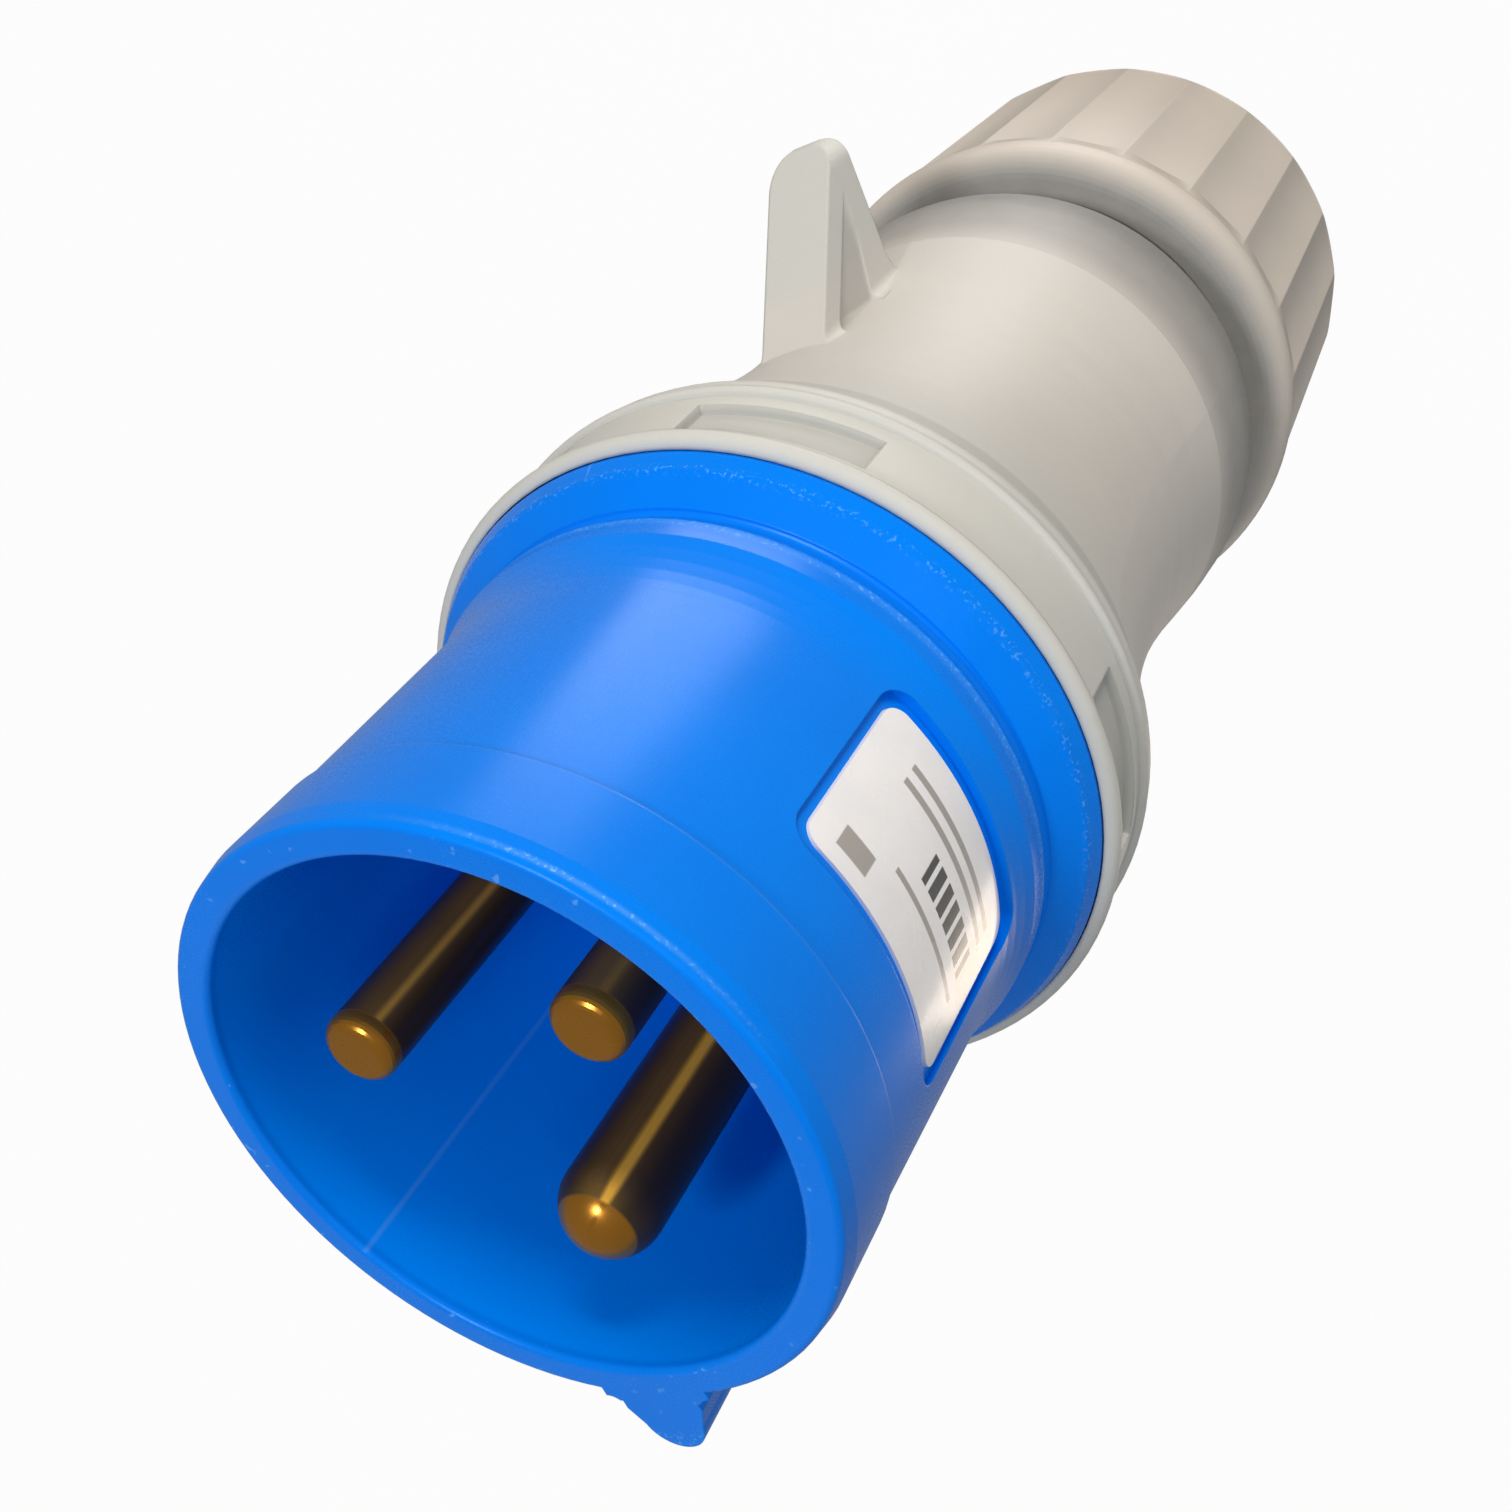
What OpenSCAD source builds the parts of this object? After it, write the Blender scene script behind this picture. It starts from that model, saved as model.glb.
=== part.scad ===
// Pin and sleeve plug, 16 A, two poles and earth, with a screwed cable gland.
// The plug stands on the rear face of its gland nut: that face is z = 0, the
// plug axis is z, the mouth of the shroud points up and the keyway rib points
// to -y. Millimetres and degrees throughout.

/* [Shroud] */
// Outer diameter of the shroud behind its front band
shroud_diameter = 44.1; // [40:0.1:50]
// Wall of the shroud at the mouth
shroud_wall = 2.35; // [1.8:0.05:3]
// Length of the shroud in front of the flange
shroud_length = 34.3; // [28:0.1:42]
// Length of the front band of the shroud
band_length = 7.5; // [4:0.1:12]
// Step down in radius behind the front band
band_step = 0.22; // [0.1:0.02:0.5]
// Growth in radius of the shroud from the band to the flange
shroud_draft = 0.22; // [0:0.02:0.5]
// Rounding of the mouth edges
mouth_round = 0.5; // [0.2:0.05:0.9]
// Depth of the floor below the mouth
socket_depth = 36; // [30:0.5:38]
// Thickness of the floor that carries the contact block
floor_thickness = 3; // [2:0.1:5]

/* [Keyway rib] */
// Height of the rib above the shroud
key_height = 4.5; // [3:0.1:6]
// Width of the rib at its root
key_width = 6; // [5:0.1:8]
// Radius of the rounded crest of the rib
key_crest_radius = 2.3; // [1:0.1:2.4]
// Radius of the hollow fillets at the root of the rib
key_fillet = 1.1; // [0.5:0.1:2]

/* [Flange and front spigot] */
// Rise of the ridge in front of the flange above the shroud
ridge_rise = 1.25; // [0.6:0.05:1.8]
// Height of the ridge crest in front of the flange face
ridge_height = 2; // [1.2:0.1:3]
// Height of the flange edge above the spigot
flange_step = 1.7; // [1.4:0.05:3]
// Thickness of the flange in front of the collar
flange_thickness = 3.1; // [2:0.1:5]
// Fall of the flange face from the ridge to its corner
flange_fall = 1.5; // [0.5:0.1:2]
// Inward taper of the flange edge towards the front
flange_taper = 0.45; // [0:0.05:0.8]
// Rounding of the front corner of the flange
flange_round = 0.6; // [0.3:0.1:1]
// Depth the flange sinks into the collar lip
flange_sink = 1; // [0.6:0.1:1.6]
// Height of the spigot surface above the shroud surface
spigot_step = 2.25; // [2:0.05:3]
// Wall of the spigot
spigot_wall = 2; // [1.4:0.1:3]
// Length of the spigot behind the collar front
spigot_length = 10.1; // [9:0.1:10.2]
// Number of bayonet lugs round the spigot
bayonet_count = 4; // [3:1:6]
// Angle covered by one lug
bayonet_angle = 28; // [15:1:36]
// Height of a lug in the axial direction
bayonet_height = 2.4; // [1.5:0.1:3]
// How far a lug stands out of the spigot
bayonet_depth = 0.95; // [0.6:0.05:1]

/* [Rating label] */
// Half angle covered by the label recess
recess_half_angle = 26.5; // [18:0.5:32]
// Height of the label recess along the plug
recess_height = 15.9; // [10:0.1:18]
// Distance from the mouth to the front edge of the recess
recess_from_mouth = 12.6; // [9:0.1:16]
// Depth of the recess
recess_depth = 0.45; // [0.3:0.05:0.8]
// Corner radius of the recess
recess_corner = 1.8; // [0.5:0.1:4]
// Margin between the label and the recess edge
label_margin = 0.9; // [0.5:0.1:2]
// Thickness of the label
label_thickness = 0.25; // [0.15:0.05:0.3]

/* [Pins] */
// Radius of the circle the three pins stand on
pin_circle_radius = 10.5; // [9.5:0.1:11.5]
// Diameter of the two supply pins
phase_pin_diameter = 5; // [4.5:0.1:6]
// Diameter of the earth pin
earth_pin_diameter = 7; // [6:0.1:8]
// Distance of the pin tips below the mouth
pin_recess = 1.8; // [1:0.1:6]
// How much thicker a contact is in radius where the block and the floor hold it
shank_step = 0.3; // [0.2:0.05:0.5]
// Rounding of the supply pin tips
phase_tip_round = 0.9; // [0.4:0.1:2]
// Thickness of the metal in a terminal wall
terminal_wall = 1.9; // [1.4:0.1:2.6]
// Width of a terminal across the plug radius
terminal_width = 8; // [7:0.1:9]
// Length of a terminal along the plug axis
terminal_length = 12; // [9:0.5:13]
// Size of the wire entry along the radius
wire_entry_depth = 4.6; // [3.6:0.1:5]
// Size of the wire entry across the radius
wire_entry_width = 4.6; // [3.6:0.1:5]

/* [Contact block] */
// Thickness of the base disc of the contact block
block_base = 7; // [5.5:0.1:7.2]
// Step in radius from the base disc to the block behind it
block_hub_step = 4.8; // [4.6:0.1:5.4]
// Thickness of the retaining plate behind the terminals
retainer_thickness = 2; // [1.4:0.1:3]
// Margin of the retaining plate inside the block
retainer_margin = 1; // [0.5:0.1:2]
// Clearance round the block in the spigot
block_clearance = 0.1; // [0.05:0.01:0.3]

/* [Screws] */
// Diameter of the terminal screws
terminal_screw_diameter = 3.8; // [3:0.1:4]
// Diameter of a terminal screw head
terminal_head_diameter = 6; // [5:0.1:6.4]
// Height of a terminal screw head
terminal_head_height = 2; // [1.4:0.1:2.4]
// Diameter of the screws that hold the block
block_screw_diameter = 2.9; // [2.2:0.1:3.2]
// Diameter of the heads of the block screws
block_head_diameter = 4.6; // [4:0.1:4.8]
// Distance of the block screws outside the block behind its base
block_screw_offset = 1.2; // [0.8:0.1:1.6]
// Clearance of a screw in its hole
screw_clearance = 0.05; // [0.02:0.01:0.15]

/* [Rear housing] */
// Height of the collar rims above the flange edge
collar_rim = 1.1; // [0.9:0.05:2.5]
// Length of the collar
collar_length = 11.6; // [11.4:0.1:15]
// Depth of the channel between the collar rims
channel_depth = 0.55; // [0.3:0.05:0.7]
// Depth of the finger pockets below the channel
pocket_depth = 0.75; // [0.4:0.05:0.9]
// Width of a pocket along the plug
pocket_width = 4; // [3:0.1:5]
// Angle covered by one pocket
pocket_angle = 30; // [20:1:36]
// How far the waist between collar and body lies inside the shroud surface
waist_inset = 0.7; // [0.2:0.05:1.2]
// Distance of the waist behind the mouth
waist_from_mouth = 75; // [70:0.5:80]
// How far inside the collar rims the sweep from the waist ends
sweep_step = 1.05; // [0.6:0.05:2]
// Swell in radius from the waist to the body near the gland
body_swell = 1.95; // [1.2:0.05:3]
// Length of the body from the collar to the shoulder end
body_length = 56.1; // [52:0.1:66]
// Length of the rounded shoulder of the body
shoulder_length = 8.7; // [6:0.1:10]
// Wall of the body
body_wall = 2.3; // [1.8:0.1:2.4]
// Depth of the fine step behind the rear rim of the collar
rim_step = 0.2; // [0.1:0.05:0.5]
// Rounding of the rear edge of the collar
rim_round = 2; // [1:0.1:2.4]

/* [Lid lug] */
// Width of the lug
lug_width = 6.1; // [5:0.1:8]
// Height of the lug above the plug axis
lug_height = 34.2; // [30:0.1:38]
// Depth along the plug of the lug's nose, under the end of its ramp
lug_tip = 1.95; // [1:0.05:3]
// Distance behind the mouth where the ramp leaves the body
lug_start = 67.1; // [62:0.1:72]
// Distance of the steep rear face behind the mouth
lug_rear = 84.1; // [82:0.1:90]
// Thickness of the ramp plate in front of the side pockets
lug_plate = 2.2; // [1.6:0.1:3]
// Thickness of the web between the side pockets
lug_web = 1.6; // [1.2:0.1:2.4]
// Corner radius of the lug seen along the plug
lug_corner = 2.2; // [0.8:0.1:2.4]
// Fillet at the root of the lug
lug_fillet = 1; // [0.4:0.1:2]

/* [Gland] */
// Length of the gland nut
nut_length = 35; // [30:0.1:38]
// Gap between the nut and the body shoulder at rest
nut_gap = 1; // [0.6:0.1:3]
// Step in radius from the body to the crest of the tail thread
tail_step = 3.3; // [2.8:0.05:3.8]
// Wall of the tail at the thread crest
tail_wall = 2.6; // [2.2:0.05:3]
// Depth from the tail's end to the web that stops the clamping cage
web_depth = 8; // [6:0.1:10]
// Thickness of that web along the plug
web_thickness = 3; // [2:0.1:4]
// Depth of the tail thread below its crest
thread_depth = 0.7; // [0.4:0.05:1]
// Length of the plain land between the thread and the shoulder
pilot_land = 6; // [3:0.5:8]
// Height of the lower end of the tail above the nut rear face
tail_start = 14; // [13.6:0.1:18]
// Running clearance of the nut on the tail and of the cage in the tail
gland_clearance = 0.08; // [0.04:0.01:0.12]
// Wall of the nut at its front bead
nut_wall = 4.9; // [4:0.05:6]
// Taper in radius of the nut from the front bead to the rear
nut_taper = 1.25; // [0.5:0.05:2]
// Rounding of the rear edge of the nut
nut_rear_round = 2.4; // [1:0.1:3.5]
// Rounding of the front edge of the nut
nut_front_round = 2.6; // [1:0.1:3]
// Length of the front bead that stays plain
nut_bead = 4; // [3:0.1:8]
// Number of grip flats round the nut
flute_count = 22; // [12:1:30]
// Depth of a flat below the crests between the flats
flute_depth = 0.22; // [0.1:0.01:0.24]
// Length over which a flat runs out towards the front bead
flute_runout = 1.6; // [0.6:0.1:3]
// Radius of the cable opening in the nut
nut_opening = 10; // [8:0.1:10.6]
// Thickness of the rear wall of the nut
nut_end_wall = 3.2; // [2.4:0.1:4]
// Number of fingers of the clamping cage
finger_count = 10; // [6:1:14]
// Width of the slots between the fingers
finger_slot = 1.6; // [1:0.1:2.4]
// How far the slots between the fingers run up into the tail
finger_root = 2.5; // [1:0.1:4]
// Wall of the cage
cage_wall = 5.2; // [4.8:0.05:5.6]
// Radius of the cable bore through the seal
seal_bore = 5.5; // [4:0.1:7]
// Chamfer at each mouth of the seal's bore
seal_chamfer = 1.2; // [0.6:0.1:1.6]
// Rounding of the seal's outer edges
seal_edge = 0.8; // [0.4:0.1:1.2]
// Thickness of the slip washer
washer_thickness = 1.1; // [0.8:0.1:1.4]

/* [Hidden] */
$fn = 96;

// heights along the plug
z_shoulder = nut_length + nut_gap;
z_collar_rear = z_shoulder + body_length;
z_collar = z_collar_rear + collar_length;
z_flange = z_collar + flange_thickness;
z_mouth = z_flange + shroud_length;
z_floor = z_mouth - socket_depth;
z_floor_under = z_floor - floor_thickness;
z_block_under = z_floor_under - block_base;
z_spigot_end = z_collar - spigot_length;
z_ledge = z_spigot_end - 0.2;
z_terminal_end = z_block_under - terminal_length;
z_gasket = z_collar - flange_sink;
gasket_thickness = 1.15;

// radii, each built on the one before it
r_back = shroud_diameter / 2;
ridge_radius = r_back + ridge_rise;
spigot_radius = r_back + spigot_step;
flange_radius = spigot_radius + flange_step;
collar_radius = flange_radius + collar_rim;
neck_radius = r_back - waist_inset;
body_radius = neck_radius + body_swell;
tail_radius = body_radius - tail_step;
tail_bore = tail_radius - tail_wall;
cage_bore = tail_bore - gland_clearance - cage_wall;
nut_front_radius = tail_radius + gland_clearance + nut_wall;
nut_rear_radius = nut_front_radius - nut_taper;
r_band = r_back + band_step;
r_inner = r_back - shroud_wall;
r_spigot_in = spigot_radius - spigot_wall;
block_hub_radius = r_spigot_in - block_clearance - block_hub_step;
retainer_radius = block_hub_radius - retainer_margin;
block_screw_circle = block_hub_radius + block_screw_offset;
r_lip = flange_radius + 0.1;
r_channel = collar_radius - channel_depth;
soft_gap = 0.3;
azimuth_line = 150;
azimuth_neutral = 30;
azimuth_earth = -90;

function arc(c, r, a0, a1, n = 8) = [for (i = [0:n]) let (a = a0 + (a1 - a0) * i / n) [c[0] + r * cos(a), c[1] + r * sin(a)]];

module revolve(points) rotate_extrude() polygon(points);

module rounded_rect(w, h, r) {
    square([w - 2 * r, h], center = true);
    square([w, h - 2 * r], center = true);
    for (x = [-1, 1], y = [-1, 1]) translate([x * (w / 2 - r), y * (h / 2 - r)]) circle(r);
}

// sector of a ring between two heights, centred on azimuth a
module ring_sector(r0, r1, z0, z1, a, span) {
    half = span / 2;
    far = 2 * r1;
    rotate(a) intersection() {
        translate([0, 0, z0]) difference() {
            cylinder(r = r1, h = z1 - z0);
            translate([0, 0, -1]) cylinder(r = r0, h = z1 - z0 + 2);
        }
        translate([0, 0, z0 - 1]) linear_extrude(z1 - z0 + 2)
            polygon([[0, 0], [far * cos(half), -far * sin(half)], [far * cos(half), far * sin(half)]]);
    }
}

// ---------------------------------------------------------------- front shell
module key_profile() {
    crest = r_back + key_height - key_crest_radius;
    half = key_width / 2;
    difference() {
        union() {
            translate([0, -crest]) circle(key_crest_radius);
            polygon([[-half, -r_back + 1], [half, -r_back + 1], [half, -r_back - key_fillet],
                [key_crest_radius, -crest - 0.3], [-key_crest_radius, -crest - 0.3], [-half, -r_back - key_fillet]]);
            translate([-half - key_fillet, -r_back - 0.4 * key_fillet]) square([key_width + 2 * key_fillet, 1 + 0.4 * key_fillet]);
        }
        for (s = [-1, 1]) translate([s * (half + key_fillet), -r_back - key_fillet]) circle(key_fillet);
    }
}

module label_prism(w, h, corner) {
    translate([r_back - 8, 0, z_mouth - recess_from_mouth - recess_height / 2])
        rotate([90, 0, 90]) linear_extrude(16) rounded_rect(w, h, corner);
}

module front_shell() color([0, 0.42, 0.94]) difference() {
    union() {
        revolve(concat(
            [[r_inner - 0.35, z_floor_under], [r_inner - 0.35, z_floor + 1]],
            [[r_inner, z_mouth - 1.2]],
            arc([r_inner + mouth_round, z_mouth - mouth_round], mouth_round, 180, 90, 5),
            arc([r_band - mouth_round - 0.2, z_mouth - mouth_round], mouth_round, 90, 18, 5),
            [[r_band, z_mouth - 1.6], [r_band, z_mouth - band_length + 0.1], [r_band - band_step, z_mouth - band_length - 0.1]],
            [[r_back + shroud_draft, z_flange + 8.5]],
            arc([r_back + shroud_draft + 14.6, z_flange + 8.5], 14.6, 180, 180 + 21, 5),
            arc([ridge_radius - 0.6, z_flange + ridge_height - 0.6], 0.6, 20, -70, 5),
            arc([ridge_radius + 0.1, z_flange + 0.6], 0.6, 180, 270, 5),
            arc([flange_radius - flange_taper - flange_round, z_flange - flange_fall - 0.7 * flange_round], flange_round, 55, 15, 5),
            [[flange_radius, z_collar + 0.3], [flange_radius, z_gasket], [spigot_radius, z_gasket],
             [spigot_radius, z_spigot_end + 0.5], [spigot_radius - 0.5, z_spigot_end], [r_spigot_in, z_spigot_end],
             [r_spigot_in, z_floor_under]]
        ));
        translate([0, 0, z_floor_under]) cylinder(r = r_spigot_in + 0.5, h = floor_thickness);
        translate([0, 0, z_flange - 0.5]) linear_extrude(shroud_length + 0.5) difference() {
            key_profile();
            circle(r_back - 0.9);
        }
        for (i = [0:bayonet_count - 1])
            ring_sector(spigot_radius - 0.5, spigot_radius + bayonet_depth, z_spigot_end + 0.6,
                z_spigot_end + 0.6 + bayonet_height, 45 + i * 360 / bayonet_count, bayonet_angle);
    }
    // label recess
    intersection() {
        label_prism(2 * r_back * sin(recess_half_angle), recess_height, recess_corner);
        translate([0, 0, z_flange]) difference() {
            cylinder(r = r_back + 3, h = shroud_length);
            translate([0, 0, -1]) cylinder(r = r_back - recess_depth + 0.1, h = shroud_length + 2);
        }
    }
    // pin holes and block screw holes in the floor
    pin_holes(z_floor_under - 1, floor_thickness + 2);
    for (a = [-30, 210]) rotate(a) translate([block_screw_circle, 0, z_floor_under - 1])
        cylinder(d = block_screw_diameter, h = floor_thickness);
}

module pin_holes(z, h) {
    for (p = [[azimuth_line, phase_pin_diameter], [azimuth_neutral, phase_pin_diameter], [azimuth_earth, earth_pin_diameter]])
        rotate(p[0]) translate([pin_circle_radius, 0, z]) cylinder(d = p[1] + 2 * shank_step + 2 * screw_clearance, h = h);
}

// ---------------------------------------------------------------- label
module rating_label() color([0.93, 0.93, 0.93]) intersection() {
    label_prism(2 * r_back * sin(recess_half_angle) - 2 * label_margin, recess_height - 2 * label_margin,
        recess_corner - label_margin / 2);
    translate([0, 0, z_flange]) difference() {
        cylinder(r = r_back - recess_depth + 0.1 + label_thickness, h = shroud_length);
        translate([0, 0, -1]) cylinder(r = r_back - recess_depth + 0.1, h = shroud_length + 2);
    }
}

// ---------------------------------------------------------------- contacts
x_term_in = pin_circle_radius - wire_entry_depth / 2 - 0.6 - terminal_wall;
x_entry = x_term_in + terminal_wall;
x_term_out = x_entry + wire_entry_depth + terminal_wall + 0.5;
plate_thickness = 0.8;
x_plate = x_entry + wire_entry_depth - plate_thickness - 0.1;
z_screw = z_block_under - 0.55 * terminal_length;

// terminal with its wire entry, at azimuth 0
module terminal() difference() {
    translate([x_term_in, -terminal_width / 2, z_terminal_end])
        cube([x_term_out - x_term_in, terminal_width, terminal_length]);
    translate([x_entry, -wire_entry_width / 2, z_terminal_end - 1])
        cube([wire_entry_depth, wire_entry_width, terminal_length - 1.2]);
    translate([x_entry + 1, 0, z_screw]) rotate([0, 90, 0])
        cylinder(d = terminal_screw_diameter + 2 * screw_clearance, h = 12);
}

module phase_pin() {
    r = phase_pin_diameter / 2;
    tip = z_mouth - pin_recess;
    translate([pin_circle_radius, 0, 0]) revolve(concat([[0, z_block_under - 0.5],
        [r + shank_step, z_block_under - 0.5], [r + shank_step, z_floor], [r, z_floor]],
        arc([r - phase_tip_round, tip - phase_tip_round], phase_tip_round, 0, 90, 6), [[0, tip]]));
    terminal();
}

module line_pin() color([0.62, 0.47, 0.2]) rotate(azimuth_line) phase_pin();

module neutral_pin() color([0.62, 0.47, 0.2]) rotate(azimuth_neutral) phase_pin();

module earth_pin() color([0.62, 0.47, 0.2]) rotate(azimuth_earth) {
    r = earth_pin_diameter / 2;
    tip = z_mouth - pin_recess;
    translate([pin_circle_radius, 0, 0]) {
        translate([0, 0, z_block_under - 0.5]) cylinder(r = r + shank_step, h = z_floor - z_block_under + 0.5);
        translate([0, 0, z_floor - 1]) cylinder(r = r, h = tip - r - z_floor + 1);
        translate([0, 0, tip - r]) sphere(r);
    }
    terminal();
}

module clamp_plate() translate([x_plate, -wire_entry_width / 2 + 0.1, z_screw - 3.6])
    cube([plate_thickness, wire_entry_width - 0.2, 7.2]);

module terminal_screw() translate([x_plate + plate_thickness, 0, z_screw]) rotate([0, 90, 0]) {
    reach = x_term_out - x_plate - plate_thickness + 0.4;
    difference() {
        union() {
            cylinder(d = terminal_screw_diameter, h = reach + 0.1);
            translate([0, 0, reach]) revolve([[0, 0], [terminal_head_diameter / 2, 0],
                [terminal_head_diameter / 2, terminal_head_height - 0.5], [terminal_head_diameter / 2 - 0.5, terminal_head_height],
                [0, terminal_head_height]]);
        }
        translate([0, 0, reach + terminal_head_height]) cube([8, 0.9, 2.2], center = true);
    }
}

module line_clamp_plate() color([0.7, 0.7, 0.72]) rotate(azimuth_line) clamp_plate();

module neutral_clamp_plate() color([0.7, 0.7, 0.72]) rotate(azimuth_neutral) clamp_plate();

module earth_clamp_plate() color([0.7, 0.7, 0.72]) rotate(azimuth_earth) clamp_plate();

module line_screw() color([0.75, 0.75, 0.77]) rotate(azimuth_line) terminal_screw();

module neutral_screw() color([0.75, 0.75, 0.77]) rotate(azimuth_neutral) terminal_screw();

module earth_screw() color([0.75, 0.75, 0.77]) rotate(azimuth_earth) terminal_screw();

// ---------------------------------------------------------------- contact block
head_seat = z_block_under + 3;

module contact_block() color([0.2, 0.22, 0.25]) difference() {
    union() {
        translate([0, 0, z_block_under]) cylinder(r = r_spigot_in - block_clearance, h = block_base);
        translate([0, 0, z_terminal_end]) cylinder(r = block_hub_radius, h = terminal_length + 1);
    }
    for (a = [azimuth_line, azimuth_neutral, azimuth_earth]) rotate(a)
        translate([x_term_in - 0.1, -terminal_width / 2 - 0.1, z_terminal_end - 1])
            cube([block_hub_radius, terminal_width + 0.2, terminal_length + 1]);
    pin_holes(z_block_under - 1, block_base + 2);
    for (a = [-30, 210]) rotate(a) translate([block_screw_circle, 0, 0]) {
        translate([0, 0, z_block_under - 1]) cylinder(d = block_screw_diameter + 2 * screw_clearance, h = block_base + 2);
        translate([0, 0, z_terminal_end - 1]) cylinder(d = block_head_diameter + 0.3, h = head_seat - z_terminal_end + 1);
    }
    translate([0, 0, z_terminal_end - 1]) cylinder(d = block_screw_diameter, h = 9);
}

module block_screw(a) color([0.72, 0.72, 0.74]) rotate(a) translate([block_screw_circle, 0, 0]) difference() {
    union() {
        translate([0, 0, head_seat - 1.8]) cylinder(d = block_head_diameter, h = 1.8);
        translate([0, 0, head_seat - 0.1]) cylinder(d = block_screw_diameter, h = z_floor_under + 1.8 - head_seat);
    }
    for (s = [0, 90]) translate([0, 0, head_seat - 1.8]) rotate(s) cube([2.6, 0.7, 1.8], center = true);
}

module block_screw_left() block_screw(210);

module block_screw_right() block_screw(-30);

module contact_retainer() color([0.85, 0.85, 0.82]) difference() {
    translate([0, 0, z_terminal_end - retainer_thickness]) cylinder(r = retainer_radius, h = retainer_thickness);
    for (a = [azimuth_line, azimuth_neutral, azimuth_earth]) rotate(a)
        translate([x_entry + wire_entry_depth / 2, 0, z_terminal_end - retainer_thickness - 1])
            cylinder(d1 = wire_entry_depth + 2.4, d2 = wire_entry_depth - 0.6, h = retainer_thickness + 2);
    translate([0, 0, z_terminal_end - retainer_thickness - 1])
        cylinder(d = block_screw_diameter + 2 * screw_clearance, h = retainer_thickness + 2);
}

module retainer_screw() color([0.72, 0.72, 0.74]) translate([0, 0, z_terminal_end - retainer_thickness]) difference() {
    union() {
        translate([0, 0, -1.8]) cylinder(d = block_head_diameter, h = 1.8);
        translate([0, 0, -0.1]) cylinder(d = block_screw_diameter, h = retainer_thickness + 7.1);
    }
    for (s = [0, 90]) translate([0, 0, -1.8]) rotate(s) cube([2.6, 0.7, 1.8], center = true);
}

// ---------------------------------------------------------------- gasket
module housing_gasket() color([0.12, 0.12, 0.13]) translate([0, 0, z_gasket - gasket_thickness]) difference() {
    cylinder(r = flange_radius - 0.05, h = gasket_thickness);
    translate([0, 0, -1]) cylinder(r = spigot_radius + 0.1, h = gasket_thickness + 2);
}

// ---------------------------------------------------------------- rear housing
z_lip = z_gasket - gasket_thickness;
collar_bead = collar_radius - r_lip - 0.1;
z_channel_front = z_collar - 1.25 * collar_bead;
z_channel_rear = z_collar_rear + 3.9;
z_waist = z_mouth - waist_from_mouth;
z_wide = z_shoulder + shoulder_length;
shoulder_drop = body_radius - tail_radius - 0.5;
shoulder_arc = (shoulder_length * shoulder_length + shoulder_drop * shoulder_drop) / (2 * shoulder_drop);
shoulder_angle = asin(shoulder_length / shoulder_arc);
sweep_rise = collar_radius - sweep_step - neck_radius;
sweep_run = z_collar_rear + 0.4 - z_waist;
waist_sweep = (sweep_run * sweep_run + sweep_rise * sweep_rise) / (2 * sweep_rise);
sweep_angle = asin(sweep_run / waist_sweep);
r_bore = spigot_radius + 0.1;
r_core = tail_radius - thread_depth;
r_waist_in = neck_radius - body_wall;
r_wide_in = body_radius - body_wall;
z_web = tail_start + web_depth;
z_seal_top = z_web + web_thickness;
web_bore = tail_bore - web_thickness;
z_lug = z_mouth - lug_start;
z_lug_rear = z_mouth - lug_rear;
lug_ramp_lean = atan((z_lug - z_lug_rear - lug_tip) / (lug_height - neck_radius));

// depth along the plug of the ramp face, moved in by t, at height y
function ramp_z(y, t = 0) = z_lug - ((y - neck_radius) * sin(lug_ramp_lean) + t) / cos(lug_ramp_lean);

module lid_lug() {
    half = lug_width / 2;
    nose = 0.9;
    root = neck_radius - 1.6;
    shoulder_y = lug_height - 3.4;
    foot_y = neck_radius - 0.9;
    difference() {
        intersection() {
            translate([-half - lug_fillet, 0, 0]) rotate([90, 0, 90]) linear_extrude(lug_width + 2 * lug_fillet)
                polygon(concat([[root, ramp_z(root)]],
                    arc([lug_height - nose, ramp_z(lug_height - nose, nose)], nose, 90 - lug_ramp_lean, 0, 5),
                    arc([lug_height - nose, z_lug_rear + nose], nose, 0, -80, 5),
                    [[neck_radius + 2.2, z_lug_rear + 0.9], [neck_radius + 1, z_lug_rear + 0.6], [root, z_lug_rear - 0.6]]));
            translate([0, 0, z_lug_rear - 1]) linear_extrude(z_collar_rear - z_lug_rear) {
                translate([0, (lug_height + root) / 2]) rounded_rect(lug_width, lug_height - root, lug_corner);
                difference() {
                    translate([-half - lug_fillet, root]) square([lug_width + 2 * lug_fillet, neck_radius - 0.2 + lug_fillet - root]);
                    for (s = [-1, 1]) translate([s * (half + lug_fillet), neck_radius - 0.2 + lug_fillet]) circle(lug_fillet);
                }
            }
        }
        // side pocket behind the ramp plate, with a floor that rises to the rear
        for (s = [0, 1]) mirror([s, 0, 0]) intersection() {
            translate([lug_web / 2, 0, 0]) rotate([90, 0, 90]) linear_extrude(lug_width)
                polygon([[foot_y, ramp_z(foot_y, lug_plate)], [shoulder_y, ramp_z(shoulder_y, lug_plate)],
                    [foot_y, z_lug_rear + 6.6]]);
            translate([0, lug_height, 0]) rotate([90, 0, 0]) linear_extrude(lug_height)
                polygon([[lug_web / 2, z_lug - 1], [lug_width, z_lug - 1], [lug_width, z_lug_rear + 3.6], [half, z_lug_rear + 3.6]]);
        }
    }
}

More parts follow.
